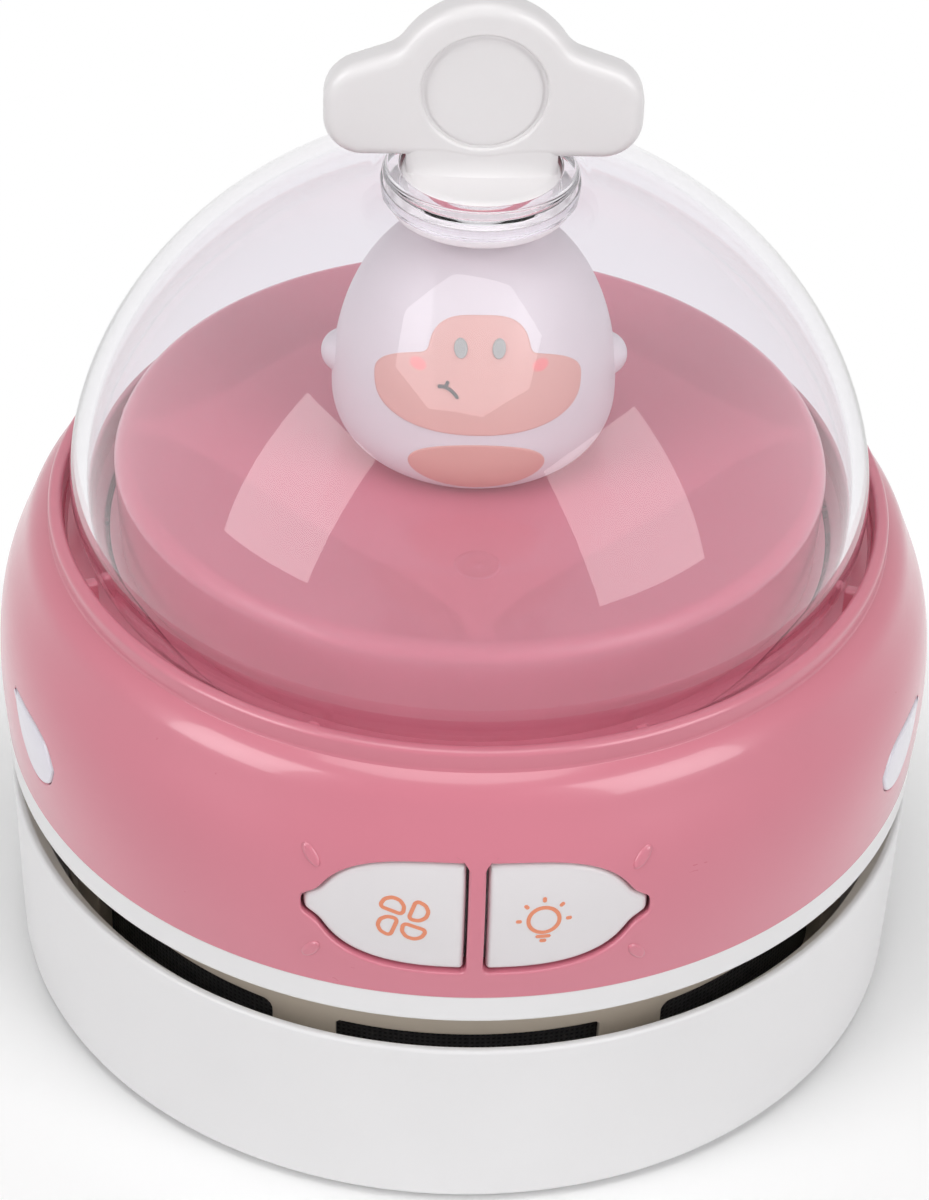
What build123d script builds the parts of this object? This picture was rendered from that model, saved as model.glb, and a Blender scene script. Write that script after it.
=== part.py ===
from build123d import *
import math
import os

# Desktop mini vacuum cleaner. Millimetres, +Z up, front of the object towards -Y.
# Origin: centre of the footprint, on the surface that the glide pads stand on.

# ---------------------------------------------------------------- clearances
running_fit = 0.06        # round pieces that turn in each other
slide_fit = 0.10          # pieces that slide or locate in each other
button_gap = 0.25         # button edge to its window
inlay_gap = 0.04          # inlay to its pocket
part_gap = 0.30           # pieces that pass each other without touching

# ---------------------------------------------------------------- height stack
pad_proud = 0.8           # glide pads below the lower edge of the skirt
skirt_height = 19.4
vent_gap = 3.8            # open ring between skirt and trim
trim_height = 3.1
shell_height = 22.3       # trim to the foot of the rim bead
bead_height = 2.1
groove_depth = 3.4        # top of the bead to the floor of the groove
cover_rise = 9.7          # groove floor to the shoulder of the top cover
cover_crown = 0.3         # shoulder to the flat centre of the cover

skirt_foot = pad_proud
skirt_top = skirt_foot + skirt_height
trim_foot = skirt_top + vent_gap
deck_top = trim_foot + trim_height
bead_foot = deck_top + shell_height
bead_top = bead_foot + bead_height
groove_floor = bead_top - groove_depth
cover_shoulder = groove_floor + cover_rise
cover_top = cover_shoulder + cover_crown

# ---------------------------------------------------------------- base and dust cup
body_radius = 45.0        # outside of the skirt at its upper edge
skirt_taper = 0.4         # upper to lower edge of the skirt, inwards
skirt_wall = 2.0
skirt_edge_round = 0.6
floor_recess = 2.0        # skirt edge to the underside of the floor
floor_thickness = 1.6
ledge_width = 1.4         # ledge inside the skirt that the floor lies on
ledge_thickness = 1.0
inlet_length = 30.0       # suction inlet, along X
inlet_width = 11.0
duct_wall = 1.2
duct_rise = 8.0           # duct above the floor
drum_set_in = 2.6         # inner face of the skirt to the drum
drum_wall = 1.6
drum_flange_width = 6.0
drum_flange_thickness = 2.0
slot_count = 8
slot_half_angle = 17.8
slot_foot_gap = 2.2       # flange to the lower edge of the slots
slot_height = 8.9
slot_corner = 1.0
front_slot_corner = 0.3
mesh_thickness = 0.4
mesh_head_gap = 0.4       # top of the mesh to the spigot of the chassis
pad_radius = 4.0
pad_count = 4
pad_set_in = 4.8          # outside of the drum to the middle of a pad and its screw
brush_overhang = 1.0      # end of the inlet to the end of a brush
brush_backing_width = 3.4
brush_backing_thickness = 0.8
brush_gap = 1.2           # inlet edge to the brush backing
bristle_width = 2.2
bristle_ground_gap = 0.2

skirt_radius_foot = body_radius - skirt_taper
skirt_inner_foot = skirt_radius_foot - skirt_wall
drum_radius = skirt_inner_foot - drum_set_in
pad_distance = drum_radius - pad_set_in
brush_length = inlet_length + 2 * brush_overhang
floor_foot = skirt_foot + floor_recess
floor_top = floor_foot + floor_thickness
flange_top = floor_top + drum_flange_thickness
slot_foot = flange_top + slot_foot_gap
duct_top = floor_top + duct_rise

# ---------------------------------------------------------------- chassis
trim_swell = 0.05         # trim beyond the skirt
trim_wall = 2.2
deck_thickness = 2.0
spigot_depth = 4.5
spigot_wall = 1.5
lip_height = 2.0
lip_wall = 1.3
drum_head_gap = 0.2       # top of the drum to the deck

trim_radius = body_radius + trim_swell
deck_foot = deck_top - deck_thickness
drum_inner = drum_radius - drum_wall
spigot_radius = drum_inner - slide_fit
drum_top = deck_foot - drum_head_gap

# ---------------------------------------------------------------- body shell
shell_swell = 0.1         # foot of the shell beyond the skirt
shell_wall = 2.0
# outline of the shell's side: share of its height, swell beyond the base radius
shell_outline = (
    (0.0, 0.0),
    (0.21, 0.31),
    (0.435, 0.23),
    (0.66, -0.63),
    (0.86, -2.35),
    (0.955, -3.45),
    (1.0, -4.8),
)
bead_set_in = 0.15        # end of the shell's side to the outer face of the bead
bead_width = 1.35
bead_round = 0.5
groove_round = 0.3
groove_ring_thickness = 2.0
groove_ring_width = 7.8   # inner face of the bead to the inner edge of the groove floor
rib_count = 8
rib_width = 1.2
rib_drop = 0.9            # top of the ribs below the top of the bead
rib_root = 0.3            # ribs into the bead
column_inset = 4.2        # inner face of the bead to the middle of a column
column_radius = 2.8
column_count = 4
column_hole_depth = 10.0
shell_screw_bite = 8.0

shell_base_radius = body_radius + shell_swell
shell_inner = shell_base_radius - shell_wall
bead_outer_radius = shell_base_radius + shell_outline[-1][1] - bead_set_in
bead_inner_radius = bead_outer_radius - bead_width
groove_ring_inner = bead_inner_radius - groove_ring_width
column_circle = bead_inner_radius - column_inset

# ---------------------------------------------------------------- buttons
window_height = 9.2       # centre of the window above the deck
window_half_width = 14.3
window_half_height = 6.05
window_power = 3.6        # squareness of the ends of the window outline
window_bar = 1.5          # shell left standing between the two buttons
window_corner = 0.6       # corners beside the bar
nub_proud = 1.2           # pointed end of the window beyond its half-width
nub_half_height = 1.45    # height over which the end falls to half of that
nub_power = 6.0           # squareness of the pointed end
button_recess = 0.35
button_thickness = 2.2
button_flange_margin = 0.9
button_flange_thickness = 0.9
button_travel = 0.8
button_offset = 7.0       # centre of a button stem from the middle
stem_radius = 2.4
tick_set_out = 0.3        # half-width of the window to the middle of a tick
tick_rise = 5.2
tick_length = 2.4
tick_width = 1.2
tick_proud = 0.22
tick_root = 0.4           # ticks into the shell
tick_tilt = 35.0

window_centre = deck_top + window_height
tick_offset = window_half_width + tick_set_out

# ---------------------------------------------------------------- side inlays
inlay_azimuth = 64.8
inlay_length = 10.0
inlay_height = 5.8
inlay_centre_height = 7.9     # middle of the inlay above the deck
inlay_thickness = 1.0
inlay_proud = 0.12

# ---------------------------------------------------------------- top cover
cover_set_back = 5.2          # inner face of the bead to the side of the cover
cover_wall = 1.8
cover_edge_round = 1.5
cover_edge_run = 4.0          # side of the cover to the start of its crown
cover_edge_share = 0.25       # share of the crown that the edge rises
cover_seat_radius = 9.5       # flat seat of the figurine
cover_hook_width = 6.0
cover_hook_wall = 1.4
cover_hook_barb = 0.7
cover_hook_reach = 1.6        # hooks below the ring of the groove floor
cover_bridge_thickness = 1.6
light_hole_radius = 4.5
gate_mark_radius = 2.1
gate_mark_depth = 0.2
gate_mark_distance = 21.5     # in front of the axis

cover_radius = bead_inner_radius - cover_set_back

# ---------------------------------------------------------------- dome and knob
dome_gap = 0.8                # inner face of the bead to the dome at its widest
dome_rise = 34.0              # widest point to the crown of the outline
dome_power = 1.8
dome_skirt = 5.6              # groove floor to the widest point
dome_tuck = 1.65              # widest point to the foot of the dome, inwards
dome_wall = 1.6
dome_last_angle = 74.0        # end of the outline, under the collar
collar_radius = 8.7
collar_height = 3.0
collar_drop = 0.9             # crown of the outline to the top of the collar
collar_foot_drop = 0.5        # collar below the inside of the dome
plug_radius = 7.2
plug_edge_round = 0.9
plug_lip_radius = 8.1
plug_lip_thickness = 0.8
handle_disc_radius = 8.5
handle_disc_height = 8.1      # collar top to the centre of the disc
handle_recess_radius = 5.6
handle_recess_depth = 0.5
handle_thickness = 3.6
handle_round = 1.1
wing_reach = 14.2
wing_foot_height = 1.5        # collar top to the lower edge of the wings
wing_root_half = 6.0
wing_root_height = 11.1       # lower edge to the top of the wing at its root
wing_tip_height = 6.9
wing_round = 3.6
wing_foot_round = 3.2
wing_root_round = 1.5
neck_width = 13.6
neck_root = 0.8               # neck into the plug
neck_reach = 0.8              # neck into the handle plate

dome_radius = bead_inner_radius - dome_gap
dome_foot_radius = dome_radius - dome_tuck
dome_equator = groove_floor + dome_skirt
dome_crown = dome_equator + dome_rise
collar_top = dome_crown - collar_drop
collar_foot = collar_top - collar_height

# ---------------------------------------------------------------- figurine
figure_radius = 13.2
figure_base_radius = 8.6
figure_belly_rise = 5.4       # base to the widest point
figure_head_gap = 1.0         # crown of the figurine to the lip of the knob
figure_power = 2.15
figure_tenon_radius = light_hole_radius - slide_fit
figure_tenon_depth = 1.2
figure_bore_radius = 3.2
figure_bore_depth = 9.0
ear_radius = 2.1
ear_height_share = 0.369      # height of the ears, as a share of the figurine's
ear_inset = 1.1
patch_proud = 0.12
face_height_share = 0.511     # height of the face, as a share of the figurine's
face_half_width = 9.3
face_half_height = 3.8
brow_rise = 2.4               # middle of the face to the middle of the brow
brow_half_width = 4.6
brow_half_height = 4.2
tummy_rise = 4.6
tummy_half_width = 4.8
tummy_half_height = 2.5

plug_lip_top = collar_foot - collar_foot_drop - slide_fit
plug_lip_foot = plug_lip_top - plug_lip_thickness
figure_height = plug_lip_foot - figure_head_gap - cover_top

# ---------------------------------------------------------------- motor
motor_radius = 10.2
can_wall = 0.8
magnet_thickness = 1.6
magnet_half_angle = 62.0
rotor_radius = 6.6
rotor_length = 11.0
rotor_rise = 3.0              # deck to the foot of the rotor stack
rotor_slot_count = 3
rotor_slot_width = 1.0
rotor_slot_depth = 2.0
commutator_radius = 2.6
commutator_gap = 0.4          # commutator to the spigot of the end cap
shaft_radius = 1.0
shaft_foot_inset = 1.0        # foot of the hub to the end of the shaft
endcap_thickness = 1.8
endcap_spigot = 1.6
bearing_radius = 3.0
bearing_boss = 1.2
bearing_cap = 0.4             # closed end of the rear boss
boss_inset = 0.4              # underside of the deck to the end of the front boss
terminal_thickness = 0.6
terminal_width = 2.4
terminal_height = 1.2
terminal_distance = 7.4
sleeve_thickness = 1.3
sleeve_proud = 1.0            # sleeve above its cup
cup_wall = 1.4
cup_height = 8.0
clamp_width = 8.0
clamp_thickness = 1.2
clamp_room = 4.1              # cup to the outer face of the clamp's legs
clamp_foot_length = 5.5

led_board_thickness = 1.2
led_board_gap = 1.4           # end cap boss to the LED board
led_height = 0.8
led_head_gap = 2.1            # LED chips to the underside of the cover
led_board_foot = cover_top - cover_wall - led_head_gap - led_height - led_board_thickness
endcap_top = led_board_foot - led_board_gap - bearing_boss
motor_top = endcap_top - endcap_thickness
motor_length = motor_top - deck_top
sleeve_radius = motor_radius + sleeve_thickness
cup_radius = sleeve_radius + cup_wall
clamp_half_span = cup_radius + clamp_room
rotor_foot = deck_top + rotor_rise

# ---------------------------------------------------------------- impeller
impeller_radius = 26.0
impeller_disc_thickness = 1.2
impeller_head_gap = 1.6       # disc to the deck
blade_height = 7.0
blade_count = 12
blade_thickness = 1.0
blade_inner_radius = 9.0
blade_tip_inset = 0.5
blade_sweep = 32.0
blade_bow = 0.35              # share of the sweep reached at half the blade's length
hub_radius = 4.5

impeller_top = deck_foot - impeller_head_gap
blade_foot = impeller_top - impeller_disc_thickness - blade_height

# ---------------------------------------------------------------- electrics
battery_end_gap = 2.9         # end of the battery's tray to the columns of the shell
battery_thickness = 6.5
battery_height = 20.0
battery_edge_share = 0.3      # rounding of its long edges, as a share of its thickness
battery_gap = 1.35            # motor cup to the cradle
cradle_wall = 1.2
cradle_floor = 1.4
cradle_end_height = 7.0
cradle_notch_share = 0.6
cradle_notch_rise = 2.0
charge_board_width = 22.0
charge_board_gap = 0.45       # cradle to the inner edge of the board
charge_board_set_back = 3.3   # inner face of the shell to the outer edge of the board
board_thickness = 1.2
charge_board_rise = 1.9
socket_width = 8.94
socket_height = 3.2
socket_length = 7.3
socket_mouth_width = 8.4
socket_mouth_height = 2.6
socket_mouth_depth = 6.2
socket_set_back = 0.2         # inner face of the shell to the mouth of the socket
socket_port_gap = 0.35
tongue_width = 6.2
tongue_thickness = 0.7
tongue_inset = 0.8
post_radius = 1.5
button_board_width = 32.0
button_board_height = 14.0
button_board_rise = 2.4
button_board_room = 9.6       # inner face of the shell to the back of the board
rail_width = 3.6
rail_depth = 3.2
switch_size = 6.0
switch_depth = 3.5
plunger_radius = 1.7
plunger_bore_depth = 1.8
plunger_reach = 1.4
led_board_radius = 11.0
led_count = 3
led_first_azimuth = 60.0
led_distance = 5.6            # axis to the middle of a chip
led_size = 3.0
led_post_distance = 9.0
led_hole_depth = 2.4

column_side = column_circle * math.sin(math.radians(45))
battery_length = 2 * (column_side - column_radius - battery_end_gap - cradle_wall - slide_fit)
battery_distance = cup_radius + battery_gap + cradle_wall + slide_fit + battery_thickness / 2
cradle_back = battery_distance + battery_thickness / 2 + slide_fit + cradle_wall
charge_board_edge = shell_inner - charge_board_set_back
charge_board_length = charge_board_edge - cradle_back - charge_board_gap
socket_reach = shell_inner - socket_set_back
button_board_distance = shell_inner - button_board_room
switch_front = button_board_distance + board_thickness + switch_depth
stem_tip = switch_front + plunger_reach

# ---------------------------------------------------------------- screws
screw_radius = 1.0
screw_head_radius = 1.9
screw_head_height = 1.3
screw_hole_gap = 0.15
small_screw_radius = 0.7
small_head_radius = 1.3
small_head_height = 0.8
screw_slot_width = 0.4
clamp_screw_bite = 1.6
charge_screw_bite = 2.4
led_screw_bite = 1.0


# ================================================================ helpers
def turned(*edges):
    """Solid of revolution from edges drawn in (radius, height)."""
    return revolve(Plane.XZ * make_face(Curve() + list(edges)), Axis.Z)


def turned_outline(*points):
    """Solid of revolution from the corners of a closed (radius, height) outline."""
    return turned(Polyline(*points, close=True))


def disc(radius, foot, top):
    """Upright cylinder on the axis."""
    return Pos(0, 0, foot) * extrude(Circle(radius), top - foot)


def tube(outer, inner, foot, top):
    """Upright ring on the axis."""
    return disc(outer, foot, top) - disc(inner, foot, top)


def block(width, depth, height, x, y, foot):
    """Box centred at x, y and standing on the given height."""
    return Pos(x, y, foot + height / 2) * Box(width, depth, height)


def around(shape, count, first=0.0):
    """Copies of a shape turned about the vertical axis, as a list."""
    return [Rot(0, 0, first + 360.0 / count * number) * shape for number in range(count)]


def obround(length, width, foot, top):
    """Upright prism with round ends, along X."""
    return Pos(0, 0, foot) * extrude(SlotOverall(length, width), top - foot)


def polar(radius, azimuth, height):
    """Location at an azimuth counted from the front, towards +X."""
    turn = math.radians(azimuth)
    return Pos(radius * math.sin(turn), -radius * math.cos(turn), height)


def upright(sketch, depth, y):
    """Extrude a sketch drawn in (x, z) backwards from the plane at y."""
    return Pos(0, y, 0) * extrude(Plane.XZ * sketch, -depth)


def screw(radius, head_radius, head_height, length, x, y, seat):
    """Pan head screw that points up, with its head under the given height."""
    shank = Pos(x, y, seat - head_height / 2) * extrude(Circle(radius), length + head_height / 2)
    head = Pos(x, y, seat - head_height) * extrude(Circle(head_radius), head_height)
    head = fillet(head.edges().group_by(Axis.Z)[0], head_height * 0.4)
    slot_x = block(head_radius * 1.2, screw_slot_width, head_height * 0.45, x, y, seat - head_height)
    slot_y = block(screw_slot_width, head_radius * 1.2, head_height * 0.45, x, y, seat - head_height)
    return shank + head - slot_x - slot_y


# ================================================================ base
def drum_screw_places():
    """Positions of the screws that hold the drum to the floor."""
    return [polar(pad_distance, 45 + 90 * number, 0) for number in range(pad_count)]


def make_base_skirt():
    """White skirt with the ledge that the floor lies on."""
    skirt = turned_outline(
        (skirt_inner_foot, skirt_foot),
        (skirt_radius_foot, skirt_foot),
        (body_radius, skirt_top),
        (body_radius - skirt_wall, skirt_top),
    )
    skirt = fillet(skirt.edges().group_by(Axis.Z)[-1], skirt_edge_round)
    skirt = fillet(skirt.edges().group_by(Axis.Z)[0].sort_by(SortBy.LENGTH)[-1:], skirt_edge_round)
    return skirt + tube(skirt_inner_foot + skirt_wall / 2, skirt_inner_foot - ledge_width,
                        floor_foot - ledge_thickness, floor_foot)


def make_cup_floor():
    """Floor of the dust cup with the suction inlet and the screw bosses."""
    floor = disc(skirt_inner_foot, floor_foot, floor_top)
    for place in drum_screw_places():
        floor += place * disc(pad_radius, skirt_foot, floor_foot)
    floor -= obround(inlet_length, inlet_width, floor_foot, floor_top)
    head_pocket = screw_head_radius + slide_fit
    for place in drum_screw_places():
        floor -= place * disc(head_pocket, skirt_foot, floor_foot)
        floor -= place * disc(screw_radius + screw_hole_gap, floor_foot, floor_top)
    return floor


def make_inlet_duct():
    """Low wall round the inlet that keeps the dust in the cup."""
    outer = obround(inlet_length + 2 * duct_wall, inlet_width + 2 * duct_wall, floor_top, duct_top)
    return outer - obround(inlet_length, inlet_width, floor_top, duct_top)


def slot_cutter(corner):
    """Block that cuts one slot at the front of the drum."""
    half_angle = math.radians(slot_half_angle)
    window = RectangleRounded(2 * drum_radius * math.sin(half_angle), slot_height, corner)
    back = drum_inner * math.cos(half_angle)
    depth = drum_radius + drum_wall - back
    return upright(Pos(0, slot_foot + slot_height / 2) * window, depth, -drum_radius - drum_wall)


def make_dust_drum():
    """Slotted cup wall on an inner flange."""
    drum = tube(drum_radius, drum_inner, floor_top, drum_top)
    drum += tube(drum_radius, drum_inner - drum_flange_width, floor_top, flange_top)
    drum -= slot_cutter(front_slot_corner)
    for slot in around(slot_cutter(slot_corner), slot_count)[1:]:
        drum -= slot
    for place in drum_screw_places():
        drum -= place * disc(screw_radius, floor_top, flange_top)
    return drum


def make_mesh_screen():
    """Woven screen that lines the drum behind its slots."""
    outer = drum_inner - slide_fit
    return tube(outer, outer - mesh_thickness, flange_top, deck_foot - spigot_depth - mesh_head_gap)


def brush_distance():
    """Middle of a brush strip from the middle of the inlet."""
    return inlet_width / 2 + brush_gap + brush_backing_width / 2


def make_brush_backing():
    """Two strips beside the inlet that hold the bristles."""
    foot = floor_foot - brush_backing_thickness
    return [
        Pos(0, side * brush_distance(), 0) * obround(brush_length, brush_backing_width, foot, floor_foot)
        for side in (-1, 1)
    ]


def make_bristles():
    """Rows of bristles, as one closed block for each strip."""
    foot = bristle_ground_gap
    top = floor_foot - brush_backing_thickness
    length = brush_length - brush_backing_width
    return [
        block(length, bristle_width, top - foot, 0, side * brush_distance(), foot)
        for side in (-1, 1)
    ]


def make_glide_pads():
    """Felt pads over the drum screws."""
    return [place * disc(pad_radius, 0, pad_proud) for place in drum_screw_places()]


def make_drum_screws():
    """Screws from the underside of the floor into the drum flange."""
    return [
        screw(screw_radius, screw_head_radius, screw_head_height, floor_thickness + drum_flange_thickness,
              place.position.X, place.position.Y, floor_foot)
        for place in drum_screw_places()
    ]


# ================================================================ chassis
def column_places():
    """Positions of the columns and screws that hold the shell to the deck."""
    return [polar(column_circle, 45 + 360 / column_count * number, 0) for number in range(column_count)]


def clamp_foot_places():
    """Positions of the two clamp screws."""
    reach = clamp_half_span + clamp_foot_length / 2
    return [Pos(side * reach, 0, 0) for side in (-1, 1)]


def charge_post_places():
    """Positions of the posts under the charge board."""
    middle = charge_board_edge - charge_board_length / 2
    half_x = charge_board_width / 2 - 2 * post_radius
    half_y = charge_board_length / 2 - 2 * post_radius
    return [Pos(side * half_x, middle - half_y, 0) for side in (-1, 1)]


def make_chassis():
    """White deck with the trim ring, the drum spigot and the seats of what it carries."""
    lip_radius = shell_inner - slide_fit
    chassis = disc(trim_radius, trim_foot, deck_top)
    chassis -= disc(trim_radius - trim_wall, trim_foot, deck_foot)
    chassis = chassis + tube(spigot_radius, spigot_radius - spigot_wall, deck_foot - spigot_depth, deck_foot)
    chassis += tube(lip_radius, lip_radius - lip_wall, deck_top, deck_top + lip_height)
    chassis += tube(cup_radius, sleeve_radius, deck_top, deck_top + cup_height)
    for place in charge_post_places():
        chassis += place * disc(2 * post_radius, deck_top, deck_top + charge_board_rise)
    ledge_y = charge_board_edge - post_radius
    chassis += block(charge_board_width, 2 * post_radius, charge_board_rise, 0, ledge_y, deck_top)
    rail_x = button_board_width / 2
    rail_top = deck_top + button_board_rise + button_board_height
    slot_y = -button_board_distance - board_thickness / 2
    for side in (-1, 1):
        chassis += block(rail_width, rail_depth, rail_top - deck_top, side * rail_x, slot_y, deck_top)
    chassis += block(button_board_width, rail_depth, button_board_rise, 0, slot_y, deck_top)
    chassis -= block(button_board_width + 2 * slide_fit, board_thickness + 2 * slide_fit,
                     2 * button_board_height, 0, slot_y, deck_top + button_board_rise)
    chassis -= disc(bearing_radius + slide_fit, deck_foot, deck_top)
    for place in column_places():
        chassis -= place * disc(screw_radius + screw_hole_gap, deck_foot, deck_top)
    for place in clamp_foot_places():
        chassis -= place * disc(small_screw_radius, deck_foot, deck_top)
    for place in charge_post_places():
        chassis -= place * disc(small_screw_radius, deck_foot, deck_top + charge_board_rise)
    return chassis


def make_shell_screws():
    """Screws from under the deck into the columns of the shell."""
    return [
        screw(screw_radius, screw_head_radius, screw_head_height, deck_thickness + shell_screw_bite,
              place.position.X, place.position.Y, deck_foot)
        for place in column_places()
    ]


# ================================================================ body shell
def shell_side(offset):
    """Curve of the shell's side, moved outwards by offset, from the trim to the bead."""
    points = [
        (shell_base_radius + swell + offset, deck_top + share * shell_height)
        for share, swell in shell_outline
    ]
    return Spline(*points)


def shell_band(inner_offset, outer_offset):
    """Ring between two offsets of the shell's side."""
    outer = shell_side(outer_offset)
    inner = shell_side(inner_offset)
    foot = Line(inner @ 0, outer @ 0)
    head = Line(outer @ 1, inner @ 1)
    return turned(outer, head, inner, foot)


def shell_radius(height):
    """Radius of the shell's side at a height, between the points of its outline."""
    share = (height - deck_top) / shell_height
    for (low, low_swell), (high, high_swell) in zip(shell_outline, shell_outline[1:]):
        if share <= high:
            return shell_base_radius + low_swell + (high_swell - low_swell) * (share - low) / (high - low)
    return shell_base_radius + shell_outline[-1][1]


def window_curve(grow):
    """Points of the window's round end from its top to its foot, which flow into a pointed nub."""
    half_width = window_half_width + grow
    half_height = window_half_height + grow
    nub_half = nub_half_height + grow
    steps = 36
    points = []
    for number in range(2, steps - 1):
        turn = math.pi * number / steps
        height = half_height * math.cos(turn)
        nub = nub_proud / (1 + abs(height / nub_half) ** nub_power)
        points.append((half_width * math.sin(turn) ** (2 / window_power) + nub, height))
    return points


def window_half(side, grow=0.0):
    """One half of the lemon-shaped window, grown outwards by grow, as a sketch in (x, z)."""
    curve = window_curve(grow)
    (top_x, top_z), (foot_x, foot_z) = curve[0], curve[-1]
    inner_x = window_bar / 2 - grow
    rest = FilletPolyline((foot_x, foot_z), (inner_x, foot_z), (inner_x, top_z), (top_x, top_z),
                          radius=window_corner)
    half = make_face(Curve() + [Spline(*curve), rest])
    half = half if side > 0 else mirror(half, Plane.YZ)
    return Pos(0, window_centre) * half


def place_ticks():
    """Four raised ovals around the window."""
    ticks = []
    for side in (-1, 1):
        for level in (-1, 1):
            oval = Rot(0, 0, 90 + side * level * -tick_tilt) * Ellipse(tick_length / 2, tick_width / 2)
            sketch = Pos(side * tick_offset, window_centre + level * tick_rise) * oval
            ticks.append(upright(sketch, shell_base_radius, -shell_base_radius - 1))
    return ticks


def inlay_outline(grow):
    """Drop with a round front end and a pointed tail, grown by grow, as a sketch in (s, z)."""
    half = inlay_length / 2
    crest = inlay_height / 2
    nose = (-half - grow, crest * 0.1)
    tail = (half + 2 * grow, crest + grow)
    upper = Spline(
        tail,
        (-half * 0.1, crest * 0.98 + grow),
        nose,
        tangents=[(-1, 0), (0, -1)],
    )
    lower = Spline(
        nose,
        (-half * 0.35, -crest - grow),
        (half * 0.35 + grow, -crest * 0.45 - grow),
        tail,
        tangents=[(0, -1), (0.55, 0.83)],
    )
    return make_face(Curve() + [upper, lower])


def inlay_prism(side, grow):
    """Drop outline carried radially through the shell's side."""
    sketch = inlay_outline(grow)
    if side < 0:
        sketch = mirror(sketch, Plane.YZ)
    centre = deck_top + inlay_centre_height
    prism = extrude(Pos(0, 0, centre) * (Plane.XZ * sketch), shell_base_radius + shell_wall)
    return Rot(0, 0, side * inlay_azimuth) * prism


def make_body_shell():
    """Pink shell: side, rim bead, groove, ribs, columns, window, ticks and openings."""
    shell = shell_band(-shell_wall, 0) - disc(bead_inner_radius, groove_floor, bead_top)
    ring_foot = groove_floor - groove_ring_thickness
    crest = FilletPolyline(
        (bead_outer_radius, bead_foot - bead_round),
        (bead_outer_radius, bead_top),
        (bead_inner_radius, bead_top),
        (bead_inner_radius, groove_floor),
        (groove_ring_inner, groove_floor),
        (groove_ring_inner, ring_foot),
        (shell_radius(ring_foot) - shell_wall / 2, ring_foot),
        radius=(0, bead_round, bead_round, groove_round, 0, 0, 0),
        close=True,
    )
    shell += turned(crest)
    rib_inner = dome_radius_at(bead_top - rib_drop) + slide_fit
    rib_reach = bead_inner_radius - rib_inner + rib_root
    rib = block(rib_width, rib_reach, groove_depth - rib_drop, 0, -rib_inner - rib_reach / 2, groove_floor)
    for copy in around(rib, rib_count, 180 / rib_count):
        shell += copy
    for place in column_places():
        shell += place * disc(column_radius, deck_top, ring_foot)
        shell -= place * disc(screw_radius, deck_top, deck_top + column_hole_depth)
    core = disc(shell_inner - shell_wall, deck_top, bead_top)
    for side in (-1, 1):
        shell -= upright(window_half(side), shell_base_radius, -shell_base_radius - 1) - core
        shell -= inlay_prism(side, inlay_gap) & shell_band(-inlay_thickness - inlay_gap, shell_wall)
    raised = shell_band(-tick_root, tick_proud)
    for tick in place_ticks():
        shell += tick & raised
    shell -= socket_port()
    return shell


def make_side_inlay(side):
    """Glossy drop let into the shell."""
    return inlay_prism(side, 0.0) & shell_band(-inlay_thickness, inlay_proud)


# ================================================================ buttons
def make_button(side):
    """Button that fills one half of the window, with its inner flange and stem."""
    face = window_half(side, -button_gap)
    plate = upright(face, shell_base_radius, -shell_base_radius - 1)
    plate = plate & shell_band(-button_recess - button_thickness, -button_recess)
    wide = window_half(side, button_flange_margin)
    keep = Pos(side * (window_half_width + part_gap), window_centre) * Rectangle(
        2 * window_half_width, 4 * window_half_height)
    flange_face = wide & keep
    flange = upright(flange_face, shell_base_radius, -shell_base_radius - 1)
    flange_outer = -shell_wall - slide_fit
    flange = flange & shell_band(flange_outer - button_flange_thickness, flange_outer)
    stem = Pos(side * button_offset, -stem_tip, window_centre) * (
        Rot(90, 0, 0) * extrude(Circle(stem_radius), shell_inner - stem_tip))
    return plate + flange + stem


def make_plunger(side):
    """Plunger of a tact switch, which moves with its button."""
    length = plunger_reach + plunger_bore_depth - button_travel - slide_fit
    return Pos(side * button_offset, -stem_tip, window_centre) * (
        Rot(-90, 0, 0) * extrude(Circle(plunger_radius), length))


def make_switch(side):
    """Body of a tact switch with the bore of its plunger."""
    body = block(switch_size, switch_depth, switch_size, side * button_offset,
                 -switch_front + switch_depth / 2, window_centre - switch_size / 2)
    bore = Pos(side * button_offset, -switch_front, window_centre) * (
        Rot(-90, 0, 0) * extrude(Circle(plunger_radius + slide_fit), plunger_bore_depth))
    return body - bore


def make_button_board():
    """Upright board behind the buttons."""
    y = -button_board_distance - board_thickness / 2
    return block(button_board_width, board_thickness, button_board_height, 0, y,
                 deck_top + button_board_rise)


# ================================================================ cover
def cover_profile(inset):
    """Outline of the cover from its foot to the flat seat, moved inwards by inset."""
    radius = cover_radius - inset
    shoulder = cover_shoulder - inset
    top = cover_top - inset
    edge_rise = cover_crown * cover_edge_share
    rim = FilletPolyline(
        (radius, groove_floor),
        (radius, shoulder),
        (radius - cover_edge_run, shoulder + edge_rise),
        radius=(cover_edge_round - inset * 0.8,),
    )
    crown = Spline(
        (radius - cover_edge_run, shoulder + edge_rise),
        (cover_seat_radius, top),
        tangents=[(-cover_edge_run, edge_rise), (-1, 0)],
    )
    seat = Line((cover_seat_radius, top), (0, top))
    return [rim, crown, seat]


def cover_solid(inset):
    """Solid below the cover's outline."""
    outline = cover_profile(inset)
    axis_line = Line((0, cover_top - inset), (0, groove_floor))
    foot = Line((0, groove_floor), (cover_radius - inset, groove_floor))
    return turned(*outline, axis_line, foot)


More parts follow.
